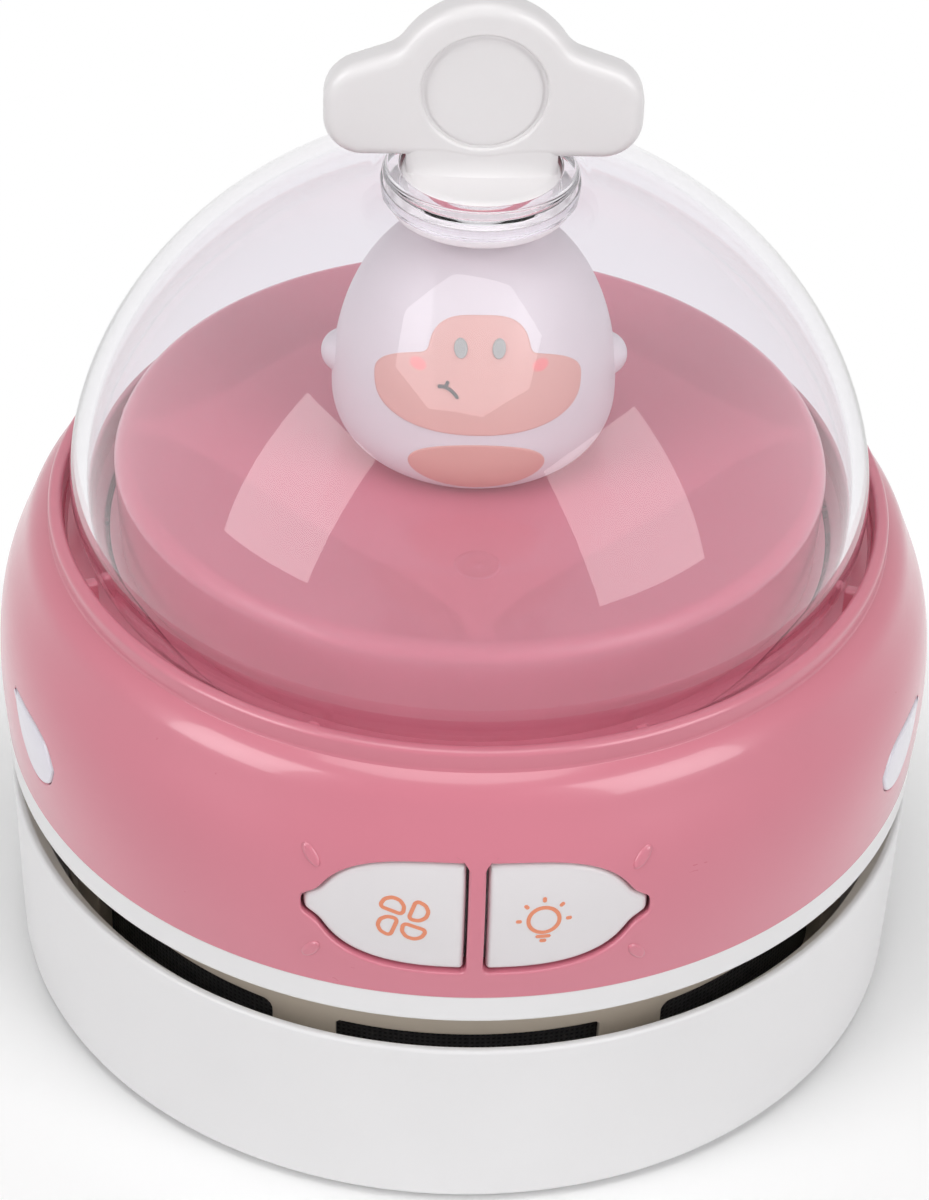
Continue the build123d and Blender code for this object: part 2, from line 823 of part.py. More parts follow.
def make_top_cover():
    """Pink cover with snap hooks, light hole and posts for the LED board."""
    cover = cover_solid(0) - cover_solid(cover_wall)
    hook_outer = groove_ring_inner - slide_fit
    hook_inner = hook_outer - cover_hook_wall
    hook_foot = groove_floor - groove_ring_thickness - cover_hook_reach
    bridge_top = groove_floor + cover_bridge_thickness
    bridge = tube(cover_radius - cover_wall / 2, hook_inner, groove_floor, bridge_top)
    hooks = tube(hook_outer, hook_inner, hook_foot, bridge_top)
    barb_top = groove_floor - groove_ring_thickness - slide_fit
    hooks += tube(hook_outer + cover_hook_barb, hook_inner, hook_foot, barb_top)
    keep = block(cover_hook_width, 2 * cover_radius, bridge_top - hook_foot, 0, 0, hook_foot)
    hooks = hooks & (keep + Rot(0, 0, 90) * keep)
    cover = cover + bridge + hooks
    cover -= disc(light_hole_radius, cover_top - 3 * cover_wall, cover_top)
    for place in led_post_places():
        cover += place * disc(post_radius, led_board_foot + led_board_thickness, cover_top - cover_wall / 2)
    for place in led_post_places():
        cover -= place * disc(small_screw_radius, led_board_foot, led_board_foot + led_hole_depth)
    gate = disc(gate_mark_radius, cover_shoulder - gate_mark_depth, cover_top)
    gate = Pos(0, -gate_mark_distance, 0) * gate
    return cover - (gate & (cover_solid(0) - cover_solid(gate_mark_depth)))


# ================================================================ dome and knob
def dome_point(angle, inset):
    """Point of the dome's upper outline: a rounded superellipse quarter."""
    radius = (dome_radius - inset) * math.cos(angle) ** (2 / dome_power)
    height = dome_equator + (dome_rise - inset) * math.sin(angle) ** (2 / dome_power)
    return (radius, height)


def dome_radius_at(height):
    """Outer radius of the dome below its widest point."""
    share = (dome_equator - height) / dome_skirt
    return dome_radius - (dome_radius - dome_foot_radius) * share ** 2


def dome_outline(inset):
    """Curve of the dome from its foot to the collar."""
    points = []
    skirt_steps = 4
    for number in range(skirt_steps):
        height = groove_floor + dome_skirt * number / skirt_steps
        points.append((dome_radius_at(height) - inset, height))
    crown_steps = 12
    last_angle = math.radians(dome_last_angle)
    for number in range(crown_steps + 1):
        points.append(dome_point(last_angle * number / crown_steps, inset))
    return Spline(*points)


def dome_solid(inset):
    """Solid below the dome's outline."""
    side = dome_outline(inset)
    end = side @ 1
    start = side @ 0
    roof = Line((end.X, end.Y), (0, end.Y))
    axis_line = Line((0, end.Y), (0, groove_floor))
    foot = Line((0, groove_floor), (start.X, groove_floor))
    return turned(side, roof, axis_line, foot)


def make_clear_dome():
    """Clear dome with the thick collar of the knob."""
    dome = dome_solid(0) - dome_solid(dome_wall)
    collar = disc(collar_radius, collar_foot - collar_foot_drop, collar_top)
    dome = dome + collar
    dome -= disc(plug_radius + running_fit, collar_foot - collar_height, collar_top + collar_height)
    return dome


def handle_sketch():
    """Handle plate in (x, z): a disc between two wing lobes."""
    foot = collar_top + wing_foot_height
    wings = make_face(FilletPolyline(
        (-wing_reach, foot),
        (wing_reach, foot),
        (wing_reach, foot + wing_tip_height),
        (wing_root_half, foot + wing_root_height),
        (-wing_root_half, foot + wing_root_height),
        (-wing_reach, foot + wing_tip_height),
        radius=(wing_foot_round, wing_foot_round, wing_round, 0, 0, wing_round),
        close=True,
    ))
    centre = collar_top + handle_disc_height
    plate = wings + Pos(0, centre) * Circle(handle_disc_radius)
    roots = [
        vertex for vertex in plate.vertices()
        if abs(math.hypot(vertex.X, vertex.Y - centre) - handle_disc_radius) < 0.01 and vertex.Y > centre
    ]
    return fillet(roots, wing_root_round)


def make_knob():
    """Knob: round plug that turns in the collar, under a winged handle plate."""
    plug = disc(plug_radius, plug_lip_foot, collar_top)
    plug = fillet(plug.edges().group_by(Axis.Z)[-1], plug_edge_round)
    lip = disc(plug_lip_radius, plug_lip_foot, plug_lip_top)
    plate = upright(handle_sketch(), handle_thickness, -handle_thickness / 2)
    plate = fillet(plate.edges().filter_by(Plane.XZ), handle_round)
    centre = collar_top + handle_disc_height
    neck_height = neck_root + wing_foot_height + neck_reach
    neck = block(neck_width, handle_thickness, neck_height, 0, 0, collar_top - neck_root)
    knob = plug + lip + plate + neck
    for side in (-1, 1):
        recess = Pos(0, side * handle_thickness / 2, centre) * (
            Rot(90, 0, 0) * Cylinder(handle_recess_radius, 2 * handle_recess_depth))
        knob -= recess
    return knob


# ================================================================ figurine
def figure_curve(grow):
    """Edges of the figurine's egg outline, grown outwards by grow."""
    belly = cover_top + figure_belly_rise
    crown = figure_height - figure_belly_rise + grow
    lower = []
    lower_steps = 4
    for number in range(lower_steps + 1):
        turn = math.pi / 2 * number / lower_steps
        radius = figure_base_radius + (figure_radius - figure_base_radius) * math.sin(turn)
        height = belly - figure_belly_rise * math.cos(turn)
        lower.append((radius + grow, height))
    upper = []
    upper_steps = 9
    for number in range(1, upper_steps + 1):
        turn = math.pi / 2 * number / upper_steps
        radius = (figure_radius + grow) * math.cos(turn) ** (2 / figure_power)
        height = belly + crown * math.sin(turn) ** (2 / figure_power)
        upper.append((max(radius, 0.0), height))
    return Spline(*lower, *upper)


def figure_solid(grow):
    """Egg of the figurine, grown outwards by grow."""
    side = figure_curve(grow)
    end = side @ 1
    start = side @ 0
    axis_line = Line((0, end.Y), (0, start.Y))
    foot = Line((0, start.Y), (start.X, start.Y))
    return turned(side, axis_line, foot)


def make_figurine_body():
    """Egg-shaped body with a light bore and a tenon in the cover."""
    body = figure_solid(0)
    body += disc(figure_tenon_radius, cover_top - figure_tenon_depth, cover_top)
    body -= disc(figure_bore_radius, cover_top - figure_tenon_depth, cover_top + figure_bore_depth)
    return body


def make_figurine_ears():
    """Round ears on the sides, seated in the body's surface."""
    ears = []
    for side in (-1, 1):
        height = cover_top + figure_height * ear_height_share
        ball = Pos(side * (figure_radius - ear_inset), 0, height) * Sphere(ear_radius)
        ears.append(ball - figure_solid(0))
    return ears


def figure_skin():
    """Thin layer over the whole egg."""
    outer = figure_curve(patch_proud)
    inner = figure_curve(0)
    crown = Line(outer @ 1, inner @ 1)
    foot = Line(inner @ 0, outer @ 0)
    return turned(outer, crown, inner, foot)


def patch(sketch):
    """Part of the thin layer on the front of the figurine, under a sketch in (x, z)."""
    return figure_skin() & upright(sketch, figure_radius, -figure_radius - 1)


def make_figurine_face():
    """Face patch: a wide oval under a domed brow."""
    centre = cover_top + figure_height * face_height_share
    face = Pos(0, centre) * Ellipse(face_half_width, face_half_height)
    brow = Pos(0, centre + brow_rise) * Ellipse(brow_half_width, brow_half_height)
    return patch(face + brow)


def make_figurine_tummy():
    """Round tummy patch low on the front."""
    return patch(Pos(0, cover_top + tummy_rise) * Ellipse(tummy_half_width, tummy_half_height))


# ================================================================ motor and impeller
def make_motor_can():
    """Steel can, open at the top, with the front bearing boss in the deck."""
    can = disc(motor_radius, deck_top, motor_top)
    can -= disc(motor_radius - can_wall, deck_top + can_wall, motor_top)
    can += disc(bearing_radius, deck_foot + boss_inset, deck_top + can_wall)
    can -= disc(shaft_radius + running_fit, deck_foot, motor_top)
    return can


def make_motor_magnets():
    """Two curved magnets inside the can."""
    outer = motor_radius - can_wall
    ring = tube(outer, outer - magnet_thickness, rotor_foot, rotor_foot + rotor_length)
    reach = 2 * motor_radius
    side = math.tan(math.radians(magnet_half_angle)) * reach
    wedge = make_face(Polyline((0, 0), (reach, -side), (reach, side), close=True))
    wedge = Pos(0, 0, deck_top) * extrude(wedge, motor_length)
    return [ring & wedge, ring & Rot(0, 0, 180) * wedge]


def make_motor_endcap():
    """Plastic end cap with the rear bearing boss and two terminals."""
    bore_top = endcap_top + bearing_boss - bearing_cap
    cap = disc(motor_radius, motor_top, endcap_top)
    cap += disc(motor_radius - can_wall - slide_fit, motor_top - endcap_spigot, motor_top)
    cap += disc(bearing_radius, endcap_top, endcap_top + bearing_boss)
    cap -= disc(shaft_radius + running_fit, motor_top - endcap_spigot, bore_top)
    for side in (-1, 1):
        cap += block(terminal_thickness, terminal_width, terminal_height, 0, side * terminal_distance,
                     endcap_top)
    return cap


def make_motor_rotor():
    """Rotor stack, commutator and the shaft that carries the impeller."""
    stack = disc(rotor_radius, rotor_foot, rotor_foot + rotor_length)
    gap = block(rotor_slot_width, 2 * rotor_slot_depth, rotor_length, 0, rotor_radius, rotor_foot)
    for copy in around(gap, rotor_slot_count):
        stack -= copy
    commutator_top = motor_top - endcap_spigot - commutator_gap
    commutator = disc(commutator_radius, rotor_foot + rotor_length, commutator_top)
    shaft_top = endcap_top + bearing_boss - bearing_cap - slide_fit
    return stack + commutator + disc(shaft_radius, blade_foot + shaft_foot_inset, shaft_top)


def make_motor_sleeve():
    """Rubber sleeve between the can and its cup."""
    return tube(sleeve_radius, motor_radius, deck_top, deck_top + cup_height + sleeve_proud)


def make_motor_clamp():
    """Bent strap over the motor, with a foot at each side."""
    leg_height = endcap_top + clamp_thickness - deck_top
    strap = block(2 * clamp_half_span, clamp_width, clamp_thickness, 0, 0, endcap_top)
    strap -= disc(bearing_radius + slide_fit, endcap_top, endcap_top + clamp_thickness)
    for side in (-1, 1):
        leg_x = side * (clamp_half_span - clamp_thickness / 2)
        strap += block(clamp_thickness, clamp_width, leg_height, leg_x, 0, deck_top)
        foot_x = side * (clamp_half_span + clamp_foot_length / 2)
        strap += block(clamp_foot_length, clamp_width, clamp_thickness, foot_x, 0, deck_top)
    for place in clamp_foot_places():
        strap -= place * disc(small_screw_radius + screw_hole_gap, deck_top, deck_top + clamp_thickness)
    return strap


def make_impeller():
    """Open impeller: hub, back disc and swept blades."""
    disc_foot = impeller_top - impeller_disc_thickness
    wheel = disc(impeller_radius, disc_foot, impeller_top)
    wheel += disc(hub_radius, blade_foot, impeller_top)
    sweep = math.radians(blade_sweep)
    start = (blade_inner_radius, 0)
    middle_radius = (blade_inner_radius + impeller_radius) / 2
    middle = (middle_radius * math.cos(sweep * blade_bow), middle_radius * math.sin(sweep * blade_bow))
    tip_radius = impeller_radius - blade_tip_inset
    tip = (tip_radius * math.cos(sweep), tip_radius * math.sin(sweep))
    blade = trace(ThreePointArc(start, middle, tip), blade_thickness)
    blade = Pos(0, 0, blade_foot) * extrude(blade, blade_height)
    for copy in around(blade, blade_count):
        wheel += copy
    wheel -= disc(shaft_radius, blade_foot, impeller_top)
    return wheel


# ================================================================ electrics
def make_battery():
    """Flat lithium pouch with rounded long edges."""
    foot = deck_top + cradle_floor
    pouch = block(battery_length, battery_thickness, battery_height, 0, battery_distance, foot)
    return fillet(pouch.edges().filter_by(Axis.X), battery_thickness * battery_edge_share)


def make_battery_cradle():
    """Tray on the deck that holds the battery upright."""
    length = battery_length + 2 * slide_fit
    depth = battery_thickness + 2 * slide_fit
    tray = block(length + 2 * cradle_wall, depth + 2 * cradle_wall, cradle_end_height, 0,
                 battery_distance, deck_top)
    tray -= block(length, depth, cradle_end_height, 0, battery_distance, deck_top + cradle_floor)
    tray -= block(length * cradle_notch_share, depth + 3 * cradle_wall, cradle_end_height, 0,
                  battery_distance, deck_top + cradle_floor + cradle_notch_rise)
    return tray


def charge_board_foot():
    """Underside of the charge board."""
    return deck_top + charge_board_rise


def make_charge_board():
    """Board that carries the USB-C socket."""
    y = charge_board_edge - charge_board_length / 2
    board = block(charge_board_width, charge_board_length, board_thickness, 0, y, charge_board_foot())
    for place in charge_post_places():
        board -= place * disc(small_screw_radius + screw_hole_gap, charge_board_foot(),
                              charge_board_foot() + board_thickness)
    return board


def socket_centre():
    """Height of the middle of the USB-C socket."""
    return charge_board_foot() + board_thickness + socket_height / 2


def flat_obround(width, height):
    """Obround sketch in (x, z) at the height of the socket."""
    return Pos(0, socket_centre()) * SlotOverall(width, height)


def make_usb_socket():
    """Metal shell of the socket with its tongue."""
    back = socket_reach - socket_length
    shell = upright(flat_obround(socket_width, socket_height), socket_length, back)
    mouth_foot = socket_reach - socket_mouth_depth
    shell -= upright(flat_obround(socket_mouth_width, socket_mouth_height), socket_mouth_depth, mouth_foot)
    tongue_length = socket_mouth_depth - tongue_inset
    tongue = block(tongue_width, tongue_length, tongue_thickness, 0, mouth_foot + tongue_length / 2,
                   socket_centre() - tongue_thickness / 2)
    return shell + tongue


def socket_port():
    """Opening in the shell behind which the socket lies."""
    grow = 2 * socket_port_gap
    sketch = flat_obround(socket_width + grow, socket_height + grow)
    return upright(sketch, 3 * shell_wall, shell_inner - shell_wall)


def led_post_places():
    """Positions of the posts that carry the LED board."""
    return [Pos(0, side * led_post_distance, 0) for side in (-1, 1)]


def make_led_board():
    """Round board under the light hole."""
    top = led_board_foot + led_board_thickness
    board = disc(led_board_radius, led_board_foot, top)
    for place in led_post_places():
        board -= place * disc(small_screw_radius + screw_hole_gap, led_board_foot, top)
    return board


def make_led_chips():
    """Light-emitting chips around the light hole."""
    chip = block(led_size, led_size, led_height, 0, 0, led_board_foot + led_board_thickness)
    return [
        polar(led_distance, led_first_azimuth + 360 / led_count * number, 0) * chip
        for number in range(led_count)
    ]


def make_board_screws():
    """Small screws of the LED board, from below."""
    return [
        screw(small_screw_radius, small_head_radius, small_head_height, led_board_thickness + led_screw_bite,
              place.position.X, place.position.Y, led_board_foot)
        for place in led_post_places()
    ]


def turned_over(shape, height):
    """The same shape upside down about a height."""
    return Pos(0, 0, height) * (Rot(180, 0, 0) * (Pos(0, 0, -height) * shape))


def make_deck_screws():
    """Small screws of the clamp and the charge board, from above."""
    screws = []
    for place in clamp_foot_places():
        seat = deck_top + clamp_thickness
        raised = screw(small_screw_radius, small_head_radius, small_head_height,
                       clamp_thickness + clamp_screw_bite, place.position.X, -place.position.Y, seat)
        screws.append(turned_over(raised, seat))
    for place in charge_post_places():
        seat = charge_board_foot() + board_thickness
        raised = screw(small_screw_radius, small_head_radius, small_head_height,
                       board_thickness + charge_screw_bite, place.position.X, -place.position.Y, seat)
        screws.append(turned_over(raised, seat))
    return screws


# ================================================================ assembly
def build_nodes():
    """All pieces by node name; a list is a group of separate solids in one node."""
    return {
        "base_skirt": make_base_skirt(),
        "cup_floor": make_cup_floor(),
        "inlet_duct": make_inlet_duct(),
        "dust_drum": make_dust_drum(),
        "mesh_screen": make_mesh_screen(),
        "brush_backing": make_brush_backing(),
        "bristles": make_bristles(),
        "glide_pads": make_glide_pads(),
        "drum_screws": make_drum_screws(),
        "chassis": make_chassis(),
        "shell_screws": make_shell_screws(),
        "body_shell": make_body_shell(),
        "side_inlay_left": make_side_inlay(-1),
        "side_inlay_right": make_side_inlay(1),
        "fan_button": make_button(-1),
        "light_button": make_button(1),
        "fan_plunger": make_plunger(-1),
        "light_plunger": make_plunger(1),
        "fan_switch": make_switch(-1),
        "light_switch": make_switch(1),
        "button_board": make_button_board(),
        "top_cover": make_top_cover(),
        "clear_dome": make_clear_dome(),
        "knob": make_knob(),
        "figurine_body": make_figurine_body(),
        "figurine_ears": make_figurine_ears(),
        "figurine_face": make_figurine_face(),
        "figurine_tummy": make_figurine_tummy(),
        "motor_can": make_motor_can(),
        "motor_magnets": make_motor_magnets(),
        "motor_endcap": make_motor_endcap(),
        "motor_rotor": make_motor_rotor(),
        "motor_sleeve": make_motor_sleeve(),
        "motor_clamp": make_motor_clamp(),
        "impeller": make_impeller(),
        "battery": make_battery(),
        "battery_cradle": make_battery_cradle(),
        "charge_board": make_charge_board(),
        "usb_socket": make_usb_socket(),
        "led_board": make_led_board(),
        "led_chips": make_led_chips(),
        "led_screws": make_board_screws(),
        "deck_screws": make_deck_screws(),
    }


os.makedirs("parts", exist_ok=True)
for node, shape in build_nodes().items():
    solids = shape if isinstance(shape, list) else [shape]
    group = Compound(children=[solid for item in solids for solid in item.solids()])
    export_step(group, f"parts/{node}.step")
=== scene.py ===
"""Looks of a desktop mini vacuum cleaner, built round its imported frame.

Lengths in this script are millimetres and azimuths are degrees from the front towards +X,
until a mesh is made in metres.
"""
from __future__ import annotations

import logging
import math
from dataclasses import dataclass
from enum import Enum
from typing import Callable, Iterable, Sequence

import bmesh
import bpy
import numpy as np
from mathutils import Matrix, Vector

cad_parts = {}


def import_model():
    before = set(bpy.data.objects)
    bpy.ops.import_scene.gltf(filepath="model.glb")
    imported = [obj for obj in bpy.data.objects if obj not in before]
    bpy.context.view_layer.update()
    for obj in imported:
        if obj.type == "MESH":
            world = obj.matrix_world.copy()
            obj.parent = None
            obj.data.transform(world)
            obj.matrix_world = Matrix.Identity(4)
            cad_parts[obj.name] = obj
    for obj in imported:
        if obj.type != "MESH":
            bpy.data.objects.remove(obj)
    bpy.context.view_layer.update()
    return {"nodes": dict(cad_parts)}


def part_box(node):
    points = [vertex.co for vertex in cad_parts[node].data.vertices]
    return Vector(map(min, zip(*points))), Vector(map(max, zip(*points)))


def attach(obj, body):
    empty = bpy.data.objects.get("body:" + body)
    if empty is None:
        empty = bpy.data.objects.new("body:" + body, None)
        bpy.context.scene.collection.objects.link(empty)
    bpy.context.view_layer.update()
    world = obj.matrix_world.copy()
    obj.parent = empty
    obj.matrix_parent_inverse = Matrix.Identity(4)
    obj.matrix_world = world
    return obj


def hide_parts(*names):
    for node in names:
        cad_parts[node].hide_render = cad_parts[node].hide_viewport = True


LOG = logging.getLogger("vacuum")
MM = 0.001

Array = np.ndarray
Colour = tuple[float, float, float]
Stretch = tuple[float, float, float]
Ring = tuple[Array, float]
Place = Callable[[Array, Array, float], Array]


class Body(str, Enum):
    """Bodies of the frame that pieces ride on."""

    CUP = "dust_cup"
    HOUSING = "housing"
    DOME = "dome"
    KNOB = "knob"
    FAN = "fan_button"
    LIGHT = "light_button"


class Side(Enum):
    """Left or right, seen from the front."""

    LEFT = -1
    RIGHT = 1


# ---------------------------------------------------------------- curves and surfaces
def rounded_path(corners: Sequence[tuple[float, float, float]], closed: bool = True,
                 steps: int = 6, hold: float = 0.08) -> Array:
    """Path through corners, each turned into a circular arc.

    An arc of radius r in a corner of half-angle h starts r / tan(h) from the corner, and its
    points are the spherical mix (sin((1-s)w) u + sin(s w) v) / sin(w) of its two end spokes u, v.

    Args:
        corners: rows of (across, up, radius).
        closed: whether the last corner leads back to the first.
        steps: pieces of each arc.
        hold: distance of the support points before and after each arc.

    Returns:
        Points of the path, shape (n, 2).
    """
    table = np.asarray(corners, float)
    spots, radii = table[:, :2], table[:, 2:]
    before = np.roll(spots, 1, 0) - spots
    after = np.roll(spots, -1, 0) - spots
    if not closed:
        before[0] = -after[0]
        after[-1] = -before[-1]
    before /= np.linalg.norm(before, axis=1, keepdims=True)
    after /= np.linalg.norm(after, axis=1, keepdims=True)
    half = np.arccos(np.clip((before * after).sum(1, keepdims=True), -1, 1)) / 2
    reach = radii / np.tan(half)
    bisector = before + after
    bisector /= np.maximum(np.linalg.norm(bisector, axis=1, keepdims=True), 1e-9)
    centre = spots + bisector * radii / np.sin(half)
    start = spots + before * reach
    end = spots + after * reach
    share = np.linspace(0, 1, steps + 1)
    sweep = np.maximum(math.pi - 2 * half, 1e-6)
    lead = (np.sin((1 - share) * sweep) / np.sin(sweep))[:, :, None]
    trail = (np.sin(share * sweep) / np.sin(sweep))[:, :, None]
    arcs = centre[:, None] + lead * (start - centre)[:, None] + trail * (end - centre)[:, None]
    path = np.concatenate([(start + before * hold)[:, None], arcs, (end + after * hold)[:, None]], axis=1)
    path = path.reshape(-1, 2)
    return path if closed else path[1:-1]


def smooth_curve(points: Sequence[tuple[float, float]], count: int = 240) -> Array:
    """Natural cubic spline through points, with chord length as its parameter.

    Args:
        points: rows of (across, up).
        count: number of samples.

    Returns:
        Samples along the curve, shape (count, 2).
    """
    spots = np.asarray(points, float)
    steps = np.linalg.norm(np.diff(spots, axis=0), axis=1)
    knots = np.concatenate([[0.0], np.cumsum(steps)])
    size = len(spots)
    matrix = np.eye(size)
    right = np.zeros_like(spots)
    inner = np.arange(1, size - 1)
    matrix[inner, inner - 1] = steps[:-1]
    matrix[inner, inner] = 2 * (steps[:-1] + steps[1:])
    matrix[inner, inner + 1] = steps[1:]
    slopes = np.diff(spots, axis=0) / steps[:, None]
    right[1:-1] = 6 * np.diff(slopes, axis=0)
    bend = np.linalg.solve(matrix, right)
    where = np.linspace(0, knots[-1], count)
    piece = np.clip(np.searchsorted(knots, where, side="right") - 1, 0, size - 2)
    width = steps[piece][:, None]
    after = (where - knots[piece])[:, None]
    before = width - after
    return ((bend[piece] * before ** 3 + bend[piece + 1] * after ** 3) / (6 * width)
            + (spots[piece] / width - bend[piece] * width / 6) * before
            + (spots[piece + 1] / width - bend[piece + 1] * width / 6) * after)


def lathe(profile: Array, turns: Array) -> Array:
    """Surface of revolution x = r sin t, y = -r cos t, z = h.

    Args:
        profile: rows of (radius, height).
        turns: azimuths in degrees.

    Returns:
        Grid of points, shape (rows, turns, 3).
    """
    angle = np.radians(turns)
    radius, height = profile[:, :1], profile[:, 1:]
    return np.stack(np.broadcast_arrays(radius * np.sin(angle), -radius * np.cos(angle), height), -1)


def full_turn(count: int) -> Array:
    """Azimuths in degrees of evenly spaced columns."""
    return np.arange(count) * 360.0 / count


def even_shares(count: int) -> Array:
    """Evenly spaced shares from 0 to 1, without the 1."""
    return np.arange(count) / count


def quarter_arc(radius: float, count: int) -> list[tuple[float, float]]:
    """Points (r - r sin t, r - r cos t) of a quarter circle, for t from 0 to 90 degrees."""
    return [(radius * (1 - math.sin(turn)), radius * (1 - math.cos(turn)))
            for turn in np.linspace(0, math.pi / 2, count)]


def quarter_places(circle: float) -> list[tuple[float, float]]:
    """Four places (x, y) on a circle about the axis, at 45 degrees and every quarter turn on."""
    turns = [math.radians(45 + 90 * number) for number in range(4)]
    return [(circle * math.sin(turn), -circle * math.cos(turn)) for turn in turns]


def spoke_lengths(points: Array, turn: Array) -> Array:
    """Distance from the origin to a closed curve, by its angle.

    Args:
        points: points of the curve, shape (n, 2).
        turn: angles in radians.

    Returns:
        The distances.
    """
    angle = np.arctan2(points[:, 1], points[:, 0])
    order = np.argsort(angle)
    return np.interp(turn, angle[order], np.hypot(*points.T)[order], period=2 * math.pi)


def eased_maximum(first: Array, second: Array | float, ease: float) -> Array:
    """Greater of two values, eased where they cross: max(a, b) + max(k - |a - b|, 0)^2 / (4 k)."""
    return np.maximum(first, second) + np.maximum(ease - np.abs(first - second), 0.0) ** 2 / (4 * ease)


def lying_ring(x: Array, y: Array, z: float) -> Array:
    """Points of a ring that lies level at a height."""
    return np.stack([x, y, np.full_like(x, z)], -1)


def upright_ring(x: Array, z: Array, y: float) -> Array:
    """Points of a ring that stands upright at a place along Y."""
    return np.stack([x, np.full_like(x, y), z], -1)


class Outline:
    """Closed outline in (x, z) that can be sampled by its length and moved outwards."""

    SAMPLES = 4096

    def __init__(self, path: Array) -> None:
        """Resample a path, run it anticlockwise and start it below its middle.

        Args:
            path: corners or samples of the outline, shape (n, 2).
        """
        loop = np.vstack([path, path[:1]])
        area = (loop[:-1, 0] * loop[1:, 1] - loop[1:, 0] * loop[:-1, 1]).sum()
        loop = loop if area > 0 else loop[::-1]
        lengths = np.concatenate([[0.0], np.cumsum(np.linalg.norm(np.diff(loop, axis=0), axis=1))])
        where = even_shares(self.SAMPLES) * lengths[-1]
        points = np.stack([np.interp(where, lengths, loop[:, axis]) for axis in (0, 1)], -1)
        self.centre = (points.min(0) + points.max(0)) / 2
        spokes = points - self.centre
        start = np.argmin(np.abs(np.arctan2(spokes[:, 1], spokes[:, 0]) + math.pi / 2))
        self.points = np.roll(points, -start, 0)
        run = np.roll(self.points, -3, 0) - np.roll(self.points, 3, 0)
        run /= np.maximum(np.linalg.norm(run, axis=1, keepdims=True), 1e-9)
        self.normals = np.stack([run[:, 1], -run[:, 0]], -1)

    def ring(self, grow: float, shares: Array) -> Array:
        """Points p(s) + grow n(s) of the outline moved along its normals.

        Args:
            grow: distance outwards.
            shares: places along the outline, from 0 to 1.

        Returns:
            Points, shape (n, 2).
        """
        grid = even_shares(self.SAMPLES)
        moved = self.points + self.normals * grow
        return np.stack([np.interp(shares, grid, moved[:, axis], period=1.0) for axis in (0, 1)], -1)

    def shrunk(self, scale: float, grow: float, shares: Array) -> Array:
        """Ring that is moved outwards and then scaled about the centre."""
        return self.centre + (self.ring(grow, shares) - self.centre) * scale

    def grown(self, grow: float) -> Outline:
        """Outline moved outwards by a distance."""
        return Outline(self.ring(grow, even_shares(self.SAMPLES // 2)))


def rounded_rectangle(width: float, height: float, radius: float, x: float, z: float) -> Outline:
    """Rectangle with round corners.

    Args:
        width: size along x.
        height: size along z.
        radius: radius of the corners.
        x: middle along x.
        z: middle along z.

    Returns:
        The outline.
    """
    half_x, half_z = width / 2, height / 2
    corners = [(x + half_x, z - half_z, radius), (x + half_x, z + half_z, radius),
               (x - half_x, z + half_z, radius), (x - half_x, z - half_z, radius)]
    return Outline(rounded_path(corners, steps=16, hold=0.0))


def oval(half_x: float, half_z: float, x: float, z: float, tilt: float = 0.0) -> Outline:
    """Ellipse turned by a tilt.

    Args:
        half_x: half the size along x before the tilt.
        half_z: half the size along z before the tilt.
        x: middle along x.
        z: middle along z.
        tilt: turn in degrees, anticlockwise.

    Returns:
        The outline.
    """
    turn = np.linspace(0, 2 * math.pi, 720, endpoint=False)
    lean = math.radians(tilt)
    across, up = half_x * np.cos(turn), half_z * np.sin(turn)
    return Outline(np.stack([x + across * math.cos(lean) - up * math.sin(lean),
                             z + across * math.sin(lean) + up * math.cos(lean)], -1))


@dataclass(frozen=True)
class Facet:
    """Map from (x, z, depth) onto a body of revolution, seen from one azimuth."""

    azimuth: float
    radius: Callable[[Array], Array]

    def place(self, x: Array, z: Array, depth: float) -> Array:
        """Point on the surface r(z) - depth that lies straight behind (x, z).

        Args:
            x: places across the view.
            z: heights.
            depth: distance below the surface.

        Returns:
            Points, shape (n, 3).
        """
        y = -np.sqrt(np.maximum((self.radius(z) - depth) ** 2 - x ** 2, 0.0))
        turn = math.radians(self.azimuth)
        cosine, sine = math.cos(turn), math.sin(turn)
        return np.stack([x * cosine - y * sine, x * sine + y * cosine, z], -1)


def slab_rings(outline: Outline, face: float, back: float, face_round: float, back_round: float,
               count: int, steps: int = 5) -> list[Ring]:
    """Rings of a closed slab with rounded rims, from the middle of its face to that of its back.

    Args:
        outline: outline of the slab.
        face: depth of the face.
        back: depth of the back.
        face_round: radius of the rim of the face.
        back_round: radius of the rim of the back.
        count: points in a ring.
        steps: rings in a rim.

    Returns:
        Rings as (points, depth).
    """
    shares = even_shares(count)
    way = 1.0 if back > face else -1.0
    fills = (0.0, 0.3, 0.6, 0.85, 0.96)
    rings = [(outline.shrunk(fill, -face_round, shares), face) for fill in fills]
    rings += [(outline.ring(-inset, shares), face + way * sunk)
              for inset, sunk in quarter_arc(face_round, steps + 1)]
    rings += [(outline.ring(-inset, shares), back - way * sunk)
              for inset, sunk in quarter_arc(back_round, steps + 1)[::-1]]
    rings += [(outline.shrunk(fill, -back_round, shares), back) for fill in fills[::-1]]
    return rings


def surface(rings: Iterable[Ring], place: Place) -> Array:
    """Grid through rings of (points, depth) that a map carries into space."""
    return np.stack([place(points[:, 0], points[:, 1], depth) for points, depth in rings])


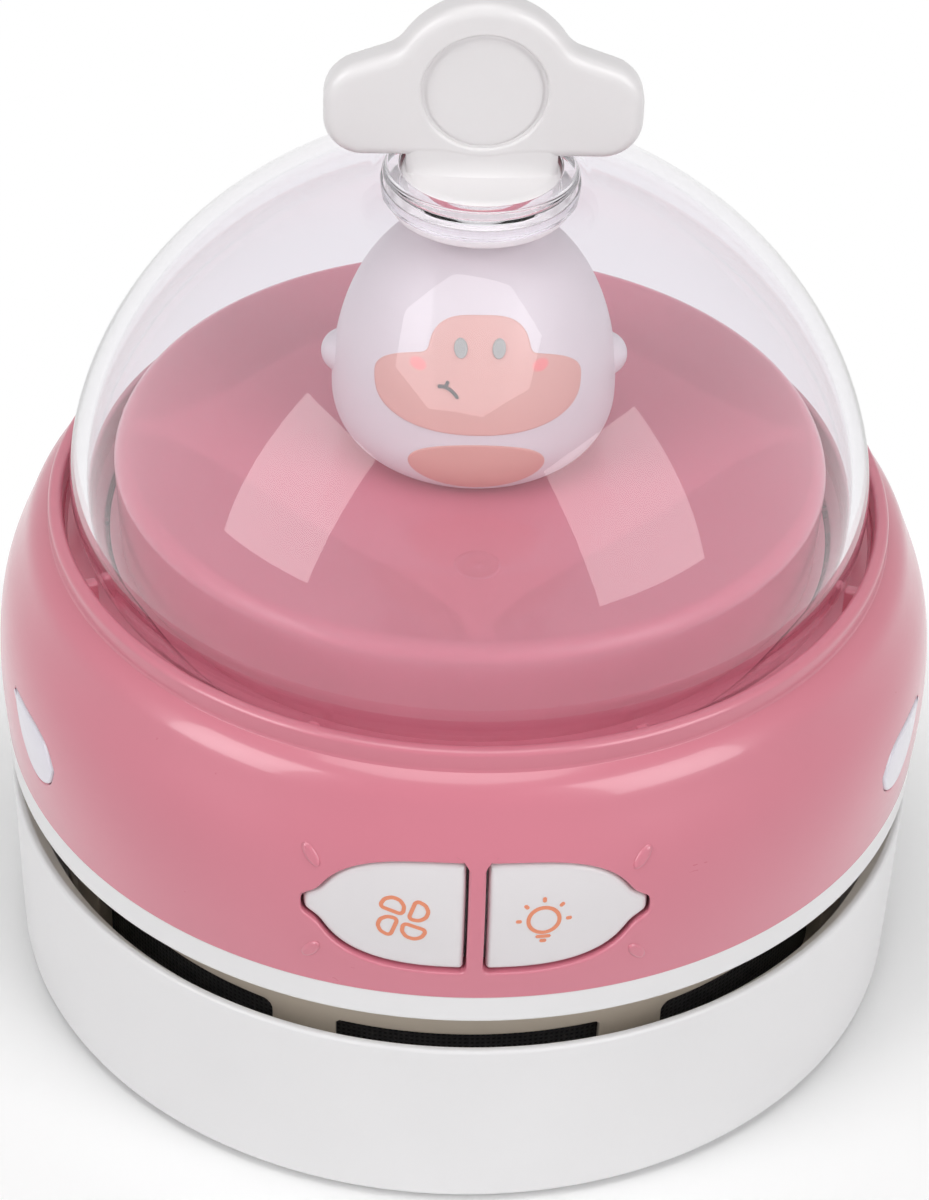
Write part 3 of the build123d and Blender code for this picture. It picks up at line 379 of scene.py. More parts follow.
def ribbon(path: Array, width: float, proud: float, closed: bool, place: Place) -> Array:
    """Flat strip along a path, with round ends where it is open.

    Its half-width at a distance d < w/2 from an end is sqrt((w/2)^2 - (w/2 - d)^2).

    Args:
        path: middle line in (x, z).
        width: full width.
        proud: height of the strip over the surface.
        closed: whether the path is a loop.
        place: map from (x, z, depth) into space.

    Returns:
        Grid of points, shape (4, n, 3), that closes along its rows.
    """
    run = np.roll(path, -1, 0) - np.roll(path, 1, 0) if closed else np.gradient(path, axis=0)
    run /= np.linalg.norm(run, axis=1, keepdims=True)
    side = np.stack([run[:, 1], -run[:, 0]], -1)
    half = np.full(len(path), width / 2)
    if not closed:
        length = np.concatenate([[0.0], np.cumsum(np.linalg.norm(np.diff(path, axis=0), axis=1))])
        end = np.minimum(np.minimum(length, length[-1] - length), width / 2)
        half = np.sqrt(np.maximum((width / 2) ** 2 - (width / 2 - end) ** 2, 0.0))
    edge = side * half[:, None]
    sunk = 0.02
    rings = [(path + edge, sunk), (path + edge, -proud), (path - edge, -proud), (path - edge, sunk)]
    return surface(rings, place)


# ---------------------------------------------------------------- mesh building
class MeshDraft:
    """Grids that are gathered into one mesh object."""

    def __init__(self, name: str) -> None:
        """Start an empty draft.

        Args:
            name: name of the object.
        """
        self.name = name
        self.points: list[Array] = []
        self.faces: list[Array] = []
        self.count = 0

    def add(self, grid: Array, wrap_rows: bool = False, wrap_columns: bool = False,
            skip: Array | None = None) -> None:
        """Add a grid of points with its quads.

        Args:
            grid: points, shape (rows, columns, 3).
            wrap_rows: whether the last row joins the first.
            wrap_columns: whether the last column joins the first.
            skip: cells without a face, shape of the cells.
        """
        rows, columns = grid.shape[:2]
        index = np.arange(rows * columns).reshape(rows, columns) + self.count
        if wrap_rows:
            index = np.vstack([index, index[:1]])
        if wrap_columns:
            index = np.hstack([index, index[:, :1]])
        quads = np.stack([index[:-1, :-1], index[:-1, 1:], index[1:, 1:], index[1:, :-1]], -1)
        quads = quads[~skip] if skip is not None else quads.reshape(-1, 4)
        self.points.append(grid.reshape(-1, 3))
        self.faces.append(quads)
        self.count += rows * columns

    def add_turned(self, profile: Array, columns: int, x: float = 0.0, y: float = 0.0) -> None:
        """Add a closed body of revolution, from rows of (radius, height), with its axis at (x, y)."""
        grid = lathe(profile, full_turn(columns)) + np.array([x, y, 0.0])
        self.add(grid, wrap_rows=True, wrap_columns=True)

    def add_block(self, low: Sequence[float], high: Sequence[float]) -> None:
        """Add a box whose upright edges and rims are rounded.

        Args:
            low: lowest corner.
            high: highest corner.
        """
        edge, rim = 0.25, 0.2
        outline = rounded_rectangle(high[0] - low[0], high[1] - low[1], edge,
                                    (low[0] + high[0]) / 2, (low[1] + high[1]) / 2)
        rings = slab_rings(outline, high[2], low[2], rim, rim, 64, 3)
        self.add(surface(rings, lying_ring), wrap_columns=True)

    def finish(self, material: bpy.types.Material, body: Body, nodes: Sequence[str] = (),
               slot: str | None = None, sharp: float = 38.0) -> None:
        """Make the object, close its seams, turn its faces outward and hang it on its body.

        Args:
            material: finish of the piece.
            body: body that it rides on.
            nodes: nodes of the frame that it stands for.
            slot: name of a material slot; not used.
            sharp: angle in degrees over which an edge stays sharp.
        """
        mesh = bpy.data.meshes.new(self.name)
        mesh.from_pydata(np.vstack(self.points) * MM, [], np.vstack(self.faces).tolist())
        work = bmesh.new()
        work.from_mesh(mesh)
        bmesh.ops.remove_doubles(work, verts=work.verts, dist=1e-6)
        bmesh.ops.recalc_face_normals(work, faces=work.faces)
        work.to_mesh(mesh)
        work.free()
        mesh.shade_smooth()
        mesh.set_sharp_from_angle(angle=math.radians(sharp))
        piece = bpy.data.objects.new(self.name, mesh)
        bpy.context.scene.collection.objects.link(piece)
        mesh.materials.append(material)
        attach(piece, body.value)
        if nodes:
            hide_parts(*nodes)
        LOG.info("%s: %d faces on %s", self.name, len(mesh.polygons), body.value)


@dataclass(frozen=True)
class Opening:
    """Opening in a wall of revolution."""

    azimuth: float
    outline: Outline
    span: tuple[float, float]     # azimuths of the wall that are built round it
    rise: tuple[float, float]     # heights of the wall that are built round it
    pocket: float | None = None   # depth of its floor, or None where it goes through


def pierced_wall(draft: MeshDraft, radius: Callable[[Array], Array], wall: float, heights: Array,
                 columns: Array, openings: Sequence[Opening], lip: float) -> None:
    """Add the two faces of a wall of revolution, with openings whose lips are rounded.

    Round each opening a block of the wall's cells is left out. Rings that mix the block's edge
    with the outline fill it, then the lip turns inward over a quarter circle.

    Args:
        draft: mesh that takes the wall.
        radius: outer radius by height.
        wall: thickness.
        heights: heights of the rows.
        columns: azimuths of the columns.
        openings: the openings.
        lip: radius of their lips.
    """
    outer = np.stack([radius(heights), heights], -1)
    outer_skip = np.zeros((len(heights) - 1, len(columns)), bool)
    inner_skip = outer_skip.copy()
    for opening in openings:
        left, right = (int(np.abs(columns - bound).argmin()) for bound in opening.span)
        low, high = (int(np.abs(heights - bound).argmin()) for bound in opening.rise)
        middle = (left + right) // 2
        row = np.concatenate([np.full(right - middle, low), np.arange(low, high),
                              np.full(right - left, high), np.arange(high, low, -1),
                              np.full(middle - left, low)])
        column = np.concatenate([np.arange(middle, right), np.full(high - low, right),
                                 np.arange(right, left, -1), np.full(high - low, left),
                                 np.arange(left, middle)])
        turn = np.radians(columns[column] - opening.azimuth)
        z = heights[row]
        edge = np.stack([radius(z) * np.sin(turn), z], -1)
        back_edge = np.stack([(radius(z) - wall) * np.sin(turn), z], -1)
        steps = np.linalg.norm(np.roll(edge, -1, 0) - edge, axis=1)
        shares = np.concatenate([[0.0], np.cumsum(steps[:-1])]) / steps.sum()
        rim = opening.outline.ring(lip, shares)
        hole = opening.outline.ring(0.0, shares)
        rings = [(edge * mix + rim * (1 - mix), 0.0) for mix in (1.0, 0.6, 0.35, 0.15, 0.04)]
        rings += [(opening.outline.ring(grow, shares), sunk) for grow, sunk in quarter_arc(lip, 5)]
        depth = wall if opening.pocket is None else opening.pocket
        rings += [(hole, depth - 0.05), (hole, depth)]
        if opening.pocket is None:
            rings += [(back_edge * mix + hole * (1 - mix), wall) for mix in (0.04, 0.3, 1.0)]
            inner_skip[low:high, left:right] = True
        else:
            rings += [(opening.outline.shrunk(share, 0.0, shares), depth) for share in (0.95, 0.6, 0.0)]
        outer_skip[low:high, left:right] = True
        draft.add(surface(rings, Facet(opening.azimuth, radius).place), wrap_columns=True)
    draft.add(lathe(outer, columns), wrap_columns=True, skip=outer_skip)
    draft.add(lathe(outer - np.array([wall, 0.0]), columns), wrap_columns=True, skip=inner_skip)


@dataclass(frozen=True)
class Extent:
    """Box of a node of the frame, in millimetres."""

    low: Array
    high: Array

    @classmethod
    def of(cls, node: str) -> Extent:
        """Box of the node with a name."""
        low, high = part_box(node)
        return cls(np.array(low) / MM, np.array(high) / MM)

    @property
    def foot(self) -> float:
        """Lowest height."""
        return float(self.low[2])

    @property
    def top(self) -> float:
        """Highest height."""
        return float(self.high[2])

    @property
    def radius(self) -> float:
        """Half of the size along x."""
        return float(self.high[0] - self.low[0]) / 2


# ---------------------------------------------------------------- finishes
def linear(colour: Colour) -> tuple[float, float, float, float]:
    """Colour from display values of 0 to 255 to scene values.

    Args:
        colour: display values.

    Returns:
        Scene values with an alpha of 1.
    """
    share = np.asarray(colour, float) / 255
    scene = np.where(share <= 0.04045, share / 12.92, ((share + 0.055) / 1.055) ** 2.4)
    return (*(float(value) for value in scene), 1.0)


class Shader:
    """Node tree of a material or of a shared effect."""

    def __init__(self, tree: bpy.types.NodeTree) -> None:
        """Wrap a tree."""
        self.tree = tree

    @classmethod
    def material(cls, name: str) -> tuple[Shader, bpy.types.Material, bpy.types.Node]:
        """New material with a Principled node on its output.

        Args:
            name: name of the material.

        Returns:
            The wrapped tree, the material and its Principled node.
        """
        material = bpy.data.materials.new(name)
        material.use_nodes = True
        shader = cls(material.node_tree)
        shader.tree.nodes.clear()
        body = shader.node("ShaderNodeBsdfPrincipled")
        output = shader.node("ShaderNodeOutputMaterial")
        shader.link(body.outputs["BSDF"], output.inputs["Surface"])
        return shader, material, body

    @classmethod
    def group(cls, name: str, inputs: dict[str, float], outputs: Sequence[str]) -> tuple[Shader, dict, dict]:
        """New shared effect, whose sockets are all float values.

        Args:
            name: name of the group.
            inputs: names and default values of its inputs.
            outputs: names of its outputs.

        Returns:
            The wrapped tree, its inner input sockets and its inner output sockets, by name.
        """
        tree = bpy.data.node_groups.new(name, "ShaderNodeTree")
        shader = cls(tree)
        kind = "NodeSocketFloat"
        for label, value in inputs.items():
            tree.interface.new_socket(label, in_out="INPUT", socket_type=kind).default_value = value
        for label in outputs:
            tree.interface.new_socket(label, in_out="OUTPUT", socket_type=kind)
        enter = shader.node("NodeGroupInput").outputs
        leave = shader.node("NodeGroupOutput").inputs
        return shader, {key: enter[key] for key in inputs}, {key: leave[key] for key in outputs}

    def node(self, kind: str, **values: object) -> bpy.types.Node:
        """Add a node and set its properties.

        Args:
            kind: type of the node.
            values: properties by name.

        Returns:
            The node.
        """
        node = self.tree.nodes.new(kind)
        for key, value in values.items():
            setattr(node, key, value)
        return node

    def link(self, start: bpy.types.NodeSocket, end: bpy.types.NodeSocket) -> None:
        """Link an output socket to an input socket."""
        self.tree.links.new(start, end)

    def blend(self, mask: bpy.types.NodeSocket, body: bpy.types.Node, other: bpy.types.Node) -> None:
        """Show a second shader where a mask is 1.

        Args:
            mask: socket from 0 to 1.
            body: node of the first shader.
            other: node of the second shader.
        """
        mix = self.node("ShaderNodeMixShader")
        for index, socket in enumerate((mask, body.outputs[0], other.outputs[0])):
            self.link(socket, mix.inputs[index])
        output = next(node for node in self.tree.nodes if node.type == "OUTPUT_MATERIAL")
        self.link(mix.outputs[0], output.inputs["Surface"])

    def math(self, operation: str, first: object, second: object = None,
             clamp: bool = False) -> bpy.types.NodeSocket:
        """Sum, product or other calculation.

        Args:
            operation: name of the operation.
            first: socket or number.
            second: socket or number.
            clamp: whether the result is kept between 0 and 1.

        Returns:
            The result's socket.
        """
        node = self.node("ShaderNodeMath", operation=operation, use_clamp=clamp)
        for index, value in enumerate((first, second)):
            if isinstance(value, bpy.types.NodeSocket):
                self.link(value, node.inputs[index])
            elif value is not None:
                node.inputs[index].default_value = value
        return node.outputs[0]

    def place(self) -> bpy.types.NodeSocket:
        """Socket of the object coordinates."""
        return self.node("ShaderNodeTexCoord").outputs["Object"]

    def noise(self, pitch: float, detail: float, stretch: Stretch = (1.0, 1.0, 1.0)) -> bpy.types.NodeSocket:
        """Noise with features of a given size.

        Args:
            pitch: size of its features in millimetres.
            detail: number of finer layers.
            stretch: scale of the pattern along each axis.

        Returns:
            Socket of its value.
        """
        mapping = self.node("ShaderNodeMapping")
        mapping.inputs["Scale"].default_value = stretch
        self.link(self.place(), mapping.inputs["Vector"])
        noise = self.node("ShaderNodeTexNoise")
        noise.inputs["Scale"].default_value = 1.0 / (pitch * MM)
        noise.inputs["Detail"].default_value = detail
        self.link(mapping.outputs["Vector"], noise.inputs["Vector"])
        return noise.outputs["Fac"]

    def bump(self, height: bpy.types.NodeSocket, depth: float) -> bpy.types.NodeSocket:
        """Bump of a given depth.

        Args:
            height: socket of its height from 0 to 1.
            depth: depth in millimetres.

        Returns:
            Socket of the normal.
        """
        node = self.node("ShaderNodeBump")
        node.inputs["Strength"].default_value = 1.0
        node.inputs["Distance"].default_value = depth * MM
        self.link(height, node.inputs["Height"])
        return node.outputs["Normal"]

    def tint(self, mask: bpy.types.NodeSocket, low: Colour, high: Colour) -> bpy.types.NodeSocket:
        """Mix of two colours.

        Args:
            mask: socket from 0 to 1.
            low: colour at 0, in display values.
            high: colour at 1, in display values.

        Returns:
            Socket of the colour.
        """
        mix = self.node("ShaderNodeMix", data_type="RGBA")
        colours = [socket for socket in mix.inputs if socket.type == "RGBA"]
        colours[0].default_value = linear(low)
        colours[1].default_value = linear(high)
        self.link(mask, mix.inputs["Factor"])
        return next(socket for socket in mix.outputs if socket.type == "RGBA")

    def use(self, name: str, **values: float) -> bpy.types.Node:
        """Add a shared effect.

        Args:
            name: name of its group.
            values: values of its inputs.

        Returns:
            Its node.
        """
        node = self.node("ShaderNodeGroup", node_tree=bpy.data.node_groups[name])
        for key, value in values.items():
            node.inputs[key].default_value = value
        return node


def make_effects() -> None:
    """Make the node groups that the finishes share: mould grain, handling marks and weave."""
    shader, _, leave = Shader.group("mould_grain", {}, ("Grain", "Flow"))
    shader.link(shader.noise(0.22, 3.0), leave["Grain"])
    shader.link(shader.noise(16.0, 1.0), leave["Flow"])

    shader, enter, leave = Shader.group("handling", {"Base": 0.3, "Spread": 0.1}, ("Roughness",))
    marks = shader.math("MULTIPLY", shader.noise(7.0, 4.0), shader.noise(1.3, 2.0, (1.0, 1.0, 3.0)))
    marks = shader.math("MULTIPLY", shader.math("SUBTRACT", marks, 0.25), enter["Spread"])
    shader.link(shader.math("ADD", enter["Base"], marks), leave["Roughness"])

    shader, enter, leave = Shader.group("weave", {"Radius": 38.3, "Pitch": 0.5}, ("Thread",))
    split = shader.node("ShaderNodeSeparateXYZ")
    shader.link(shader.place(), split.inputs[0])
    turn = shader.math("ARCTAN2", split.outputs["X"], split.outputs["Y"])
    around = shader.math("DIVIDE", shader.math("MULTIPLY", turn, enter["Radius"]), enter["Pitch"])
    upward = shader.math("DIVIDE", shader.math("DIVIDE", split.outputs["Z"], MM), enter["Pitch"])
    warp = shader.math("SINE", shader.math("MULTIPLY", around, 2 * math.pi))
    weft = shader.math("SINE", shader.math("MULTIPLY", upward, 2 * math.pi))
    thread = shader.math("MAXIMUM", warp, weft)
    shader.link(shader.math("ADD", shader.math("MULTIPLY", thread, 0.5), 0.5), leave["Thread"])


@dataclass(frozen=True)
class Finish:
    """Finish of a piece, with its name and main colour."""

    name: str
    colour: Colour


@dataclass(frozen=True)
class Plastic(Finish):
    """Moulded plastic with a fine grain, slow flow shading and handling marks."""

    roughness: float
    spread: float = 0.16
    coat: float = 0.0
    coat_roughness: float = 0.08
    grain: float = 0.004
    flow: float = 3.0

    def build(self) -> bpy.types.Material:
        """Make the material.

        Returns:
            The material.
        """
        shader, material, body = Shader.material(self.name)
        grain = shader.use("mould_grain")
        low = tuple(max(value - self.flow, 0.0) for value in self.colour)
        high = tuple(min(value + self.flow, 255.0) for value in self.colour)
        shader.link(shader.tint(grain.outputs["Flow"], low, high), body.inputs["Base Color"])
        marks = shader.use("handling", Base=self.roughness, Spread=self.spread)
        shader.link(marks.outputs["Roughness"], body.inputs["Roughness"])
        shader.link(shader.bump(grain.outputs["Grain"], self.grain), body.inputs["Normal"])
        body.inputs["Coat Weight"].default_value = self.coat
        body.inputs["Coat Roughness"].default_value = self.coat_roughness
        return material


@dataclass(frozen=True)
class ClearPlastic(Finish):
    """Clear moulded plastic that lets light through, with faint wipe marks."""

    index: float = 1.49

    def build(self) -> bpy.types.Material:
        """Make the material.

        Returns:
            The material.
        """
        shader, material, body = Shader.material(self.name)
        body.inputs["Base Color"].default_value = linear(self.colour)
        body.inputs["Transmission Weight"].default_value = 1.0
        body.inputs["IOR"].default_value = self.index
        wipe = shader.noise(2.0, 2.0, (1.0, 1.0, 0.12))
        wipe = shader.math("MULTIPLY", shader.math("SUBTRACT", wipe, 0.62, True), 0.10)
        shader.link(wipe, body.inputs["Roughness"])
        shadow = shader.node("ShaderNodeLightPath").outputs["Is Shadow Ray"]
        shader.blend(shadow, body, shader.node("ShaderNodeBsdfTransparent"))
        return material


@dataclass(frozen=True)
class WovenScreen(Finish):
    """Fine black woven screen."""

    thread: Colour
    radius: float
    pitch: float = 0.5

    def build(self) -> bpy.types.Material:
        """Make the material.

        Returns:
            The material.
        """
        shader, material, body = Shader.material(self.name)
        thread = shader.use("weave", Radius=self.radius, Pitch=self.pitch).outputs["Thread"]
        shader.link(shader.tint(thread, self.colour, self.thread), body.inputs["Base Color"])
        shader.link(shader.bump(thread, 0.06), body.inputs["Normal"])
        body.inputs["Roughness"].default_value = 0.5
        return material


@dataclass(frozen=True)
class Metal(Finish):
    """Plated or drawn metal with fine lines."""

    roughness: float = 0.3
    stretch: Stretch = (1.0, 1.0, 12.0)

    def build(self) -> bpy.types.Material:
        """Make the material.

        Returns:
            The material.
        """
        shader, material, body = Shader.material(self.name)
        lines = shader.noise(0.6, 2.0, self.stretch)
        dark = tuple(value * 0.9 for value in self.colour)
        shader.link(shader.tint(lines, dark, self.colour), body.inputs["Base Color"])
        body.inputs["Metallic"].default_value = 1.0
        marks = shader.use("handling", Base=self.roughness, Spread=0.3)
        shader.link(marks.outputs["Roughness"], body.inputs["Roughness"])
        shader.link(shader.bump(lines, 0.003), body.inputs["Normal"])
        return material


@dataclass(frozen=True)
class Fibre(Finish):
    """Felt or bristle: matt fibres with a soft sheen."""

    pitch: float = 0.3
    depth: float = 0.08
    stretch: Stretch = (1.0, 1.0, 1.0)

    def build(self) -> bpy.types.Material:
        """Make the material.

        Returns:
            The material.
        """
        shader, material, body = Shader.material(self.name)
        fibres = shader.noise(self.pitch, 5.0, self.stretch)
        dark = tuple(value * 0.7 for value in self.colour)
        shader.link(shader.tint(fibres, dark, self.colour), body.inputs["Base Color"])
        shader.link(shader.bump(fibres, self.depth), body.inputs["Normal"])
        body.inputs["Roughness"].default_value = 0.85
        body.inputs["Sheen Weight"].default_value = 0.3
        return material


@dataclass(frozen=True)
class Phosphor(Finish):
    """Mottled yellow phosphor of a light chip."""

    pale: Colour

    def build(self) -> bpy.types.Material:
        """Make the material.

        Returns:
            The material.
        """
        shader, material, body = Shader.material(self.name)
        shader.link(shader.tint(shader.noise(0.5, 3.0), self.colour, self.pale), body.inputs["Base Color"])
        body.inputs["Roughness"].default_value = 0.45
        return material


@dataclass(frozen=True)
class Blush(Finish):
    """Skin of the figurine's face, with a soft rosy patch at each cheek."""

    rosy: Colour
    offset: float
    height: float
    reach: float = 0.85
    squash: float = 1.3
    steepness: float = 3.0

    def build(self) -> bpy.types.Material:
        """Make the material.

        With the distance d = |(|x| - offset, squash (z - height))| the mask is
        steepness (1 - d / reach), kept between 0 and 1.

        Returns:
            The material.
        """
        shader, material, body = Shader.material(self.name)
        split = shader.node("ShaderNodeSeparateXYZ")
        shader.link(shader.place(), split.inputs[0])
        across = shader.math("SUBTRACT", shader.math("ABSOLUTE", split.outputs["X"]), self.offset * MM)
        upward = shader.math("SUBTRACT", split.outputs["Z"], self.height * MM)
        upward = shader.math("MULTIPLY", upward, self.squash)
        spoke = shader.math("SQRT", shader.math("ADD", shader.math("MULTIPLY", across, across),
                                                shader.math("MULTIPLY", upward, upward)))
        fall = shader.math("MULTIPLY", spoke, self.steepness / (self.reach * MM))
        mask = shader.math("SUBTRACT", self.steepness, fall, True)
        shader.link(shader.tint(mask, self.colour, self.rosy), body.inputs["Base Color"])
        marks = shader.use("handling", Base=0.42, Spread=0.1)
        shader.link(marks.outputs["Roughness"], body.inputs["Roughness"])
        return material


class Palette:
    """All finishes of the object, made once."""

    def __init__(self) -> None:
        """Make the shared effects and every material."""
        make_effects()
        finishes = (
            Plastic("pink_plastic", (208, 118, 136), 0.3, coat=0.6, grain=0.001),
            Plastic("white_plastic", (232, 231, 232), 0.4),
            Plastic("smoke_plastic", (226, 214, 198), 0.32, coat=0.1),
            Plastic("white_gloss", (222, 218, 228), 0.16, coat=0.5),
            Plastic("button_white", (223, 219, 221), 0.34, coat=0.1),
            Plastic("knob_white", (231, 228, 229), 0.34, coat=0.2),
            Plastic("icon_ink", (226, 140, 106), 0.5, grain=0.001),
            Plastic("grey_plastic", (120, 122, 126), 0.5),
            Plastic("black_plastic", (34, 34, 36), 0.42),
            Plastic("circuit_board", (28, 96, 62), 0.3, coat=0.3, flow=8.0),
            Plastic("rubber", (44, 44, 46), 0.75),
            Plastic("magnet", (74, 72, 70), 0.45),
            Plastic("figure_white", (222, 214, 219), 0.4, coat=0.05),
            Plastic("figure_salmon", (216, 158, 150), 0.42),
            Plastic("figure_ink", (165, 167, 165), 0.35, coat=0.3),
            Plastic("mouth_ink", (96, 92, 92), 0.4),
            Blush("figure_rose", (222, 172, 165), (242, 150, 150), 5.45, 72.2),
            ClearPlastic("clear_plastic", (248, 246, 250)),
            WovenScreen("screen_mesh", (8, 8, 9), (66, 66, 68), 38.3),
            Metal("steel", (196, 196, 198)),
            Metal("battery_foil", (190, 194, 200), 0.4, (1.0, 6.0, 1.0)),
            Fibre("pad_felt", (96, 96, 100)),
            Fibre("nylon_bristle", (60, 60, 64), 0.12, 0.02, (1.0, 1.0, 0.05)),
            Phosphor("led_yellow", (238, 208, 96), (250, 236, 170)),
        )
        self.materials = {finish.name: finish.build() for finish in finishes}

    def __getitem__(self, name: str) -> bpy.types.Material:
        """Material by its name."""
        return self.materials[name]


class Assembly:
    """Sub-assembly that is built with the finishes of a palette."""

    def __init__(self, palette: Palette) -> None:
        """Keep the finishes."""
        self.palette = palette


# ---------------------------------------------------------------- base and dust cup
@dataclass(frozen=True)
class BaseSizes:
    """Sizes of the base, in millimetres."""

    skirt_wall: float = 2.0
    skirt_taper: float = 0.4
    lip_round: float = 0.35
    lip_depth: float = 1.6
    ledge_width: float = 1.4
    ledge_thickness: float = 1.0
    edge_round: float = 0.6
    floor_foot: float = 2.8
    floor_top: float = 4.4
    inlet_length: float = 30.0
    inlet_width: float = 11.0
    duct_wall: float = 1.2
    duct_top: float = 12.4
    boss_radius: float = 4.0
    boss_circle: float = 35.2
    slot_width: float = 24.46
    slot_foot: float = 8.6
    slot_top: float = 17.5
    slot_corner: float = 1.0
    front_corner: float = 0.3
    slot_span: float = 19.5       # half of the wall's azimuths that a slot takes, in degrees
    slot_margin: float = 0.7
    drum_wall: float = 1.6
    flange_inner: float = 32.4
    flange_top: float = 6.4
    drum_lip: float = 0.18
    overlap: float = 0.2
    tuft_pitch: float = 0.55
    tuft_lane: float = 0.75
    tuft_setback: float = 1.1
    tuft_drift: float = 0.12
    tuft_radii: tuple[float, ...] = (0.0, 0.2, 0.22, 0.16, 0.0)
    tuft_shares: tuple[float, ...] = (0.0, 0.0, 0.5, 1.0, 1.0)


def obround_radius(turns: Array, length: float, width: float) -> Array:
    """Distance from the middle of an obround to its edge.

    With half-width w and half-straight a it is w / |cos t| beside the straight part, else
    a |sin t| + sqrt(w^2 - a^2 cos^2 t), where t is the azimuth and the obround lies along X.

    Args:
        turns: azimuths in degrees.
        length: full length.
        width: full width.

    Returns:
        The distances.
    """
    angle = np.radians(turns)
    along, across = np.abs(np.sin(angle)), np.abs(np.cos(angle))
    half, straight = width / 2, (length - width) / 2
    flat = half / np.maximum(across, 1e-9)
    cap = straight * along + np.sqrt(np.maximum(half ** 2 - (straight * across) ** 2, 0.0))
    return np.where(flat * along <= straight, flat, cap)


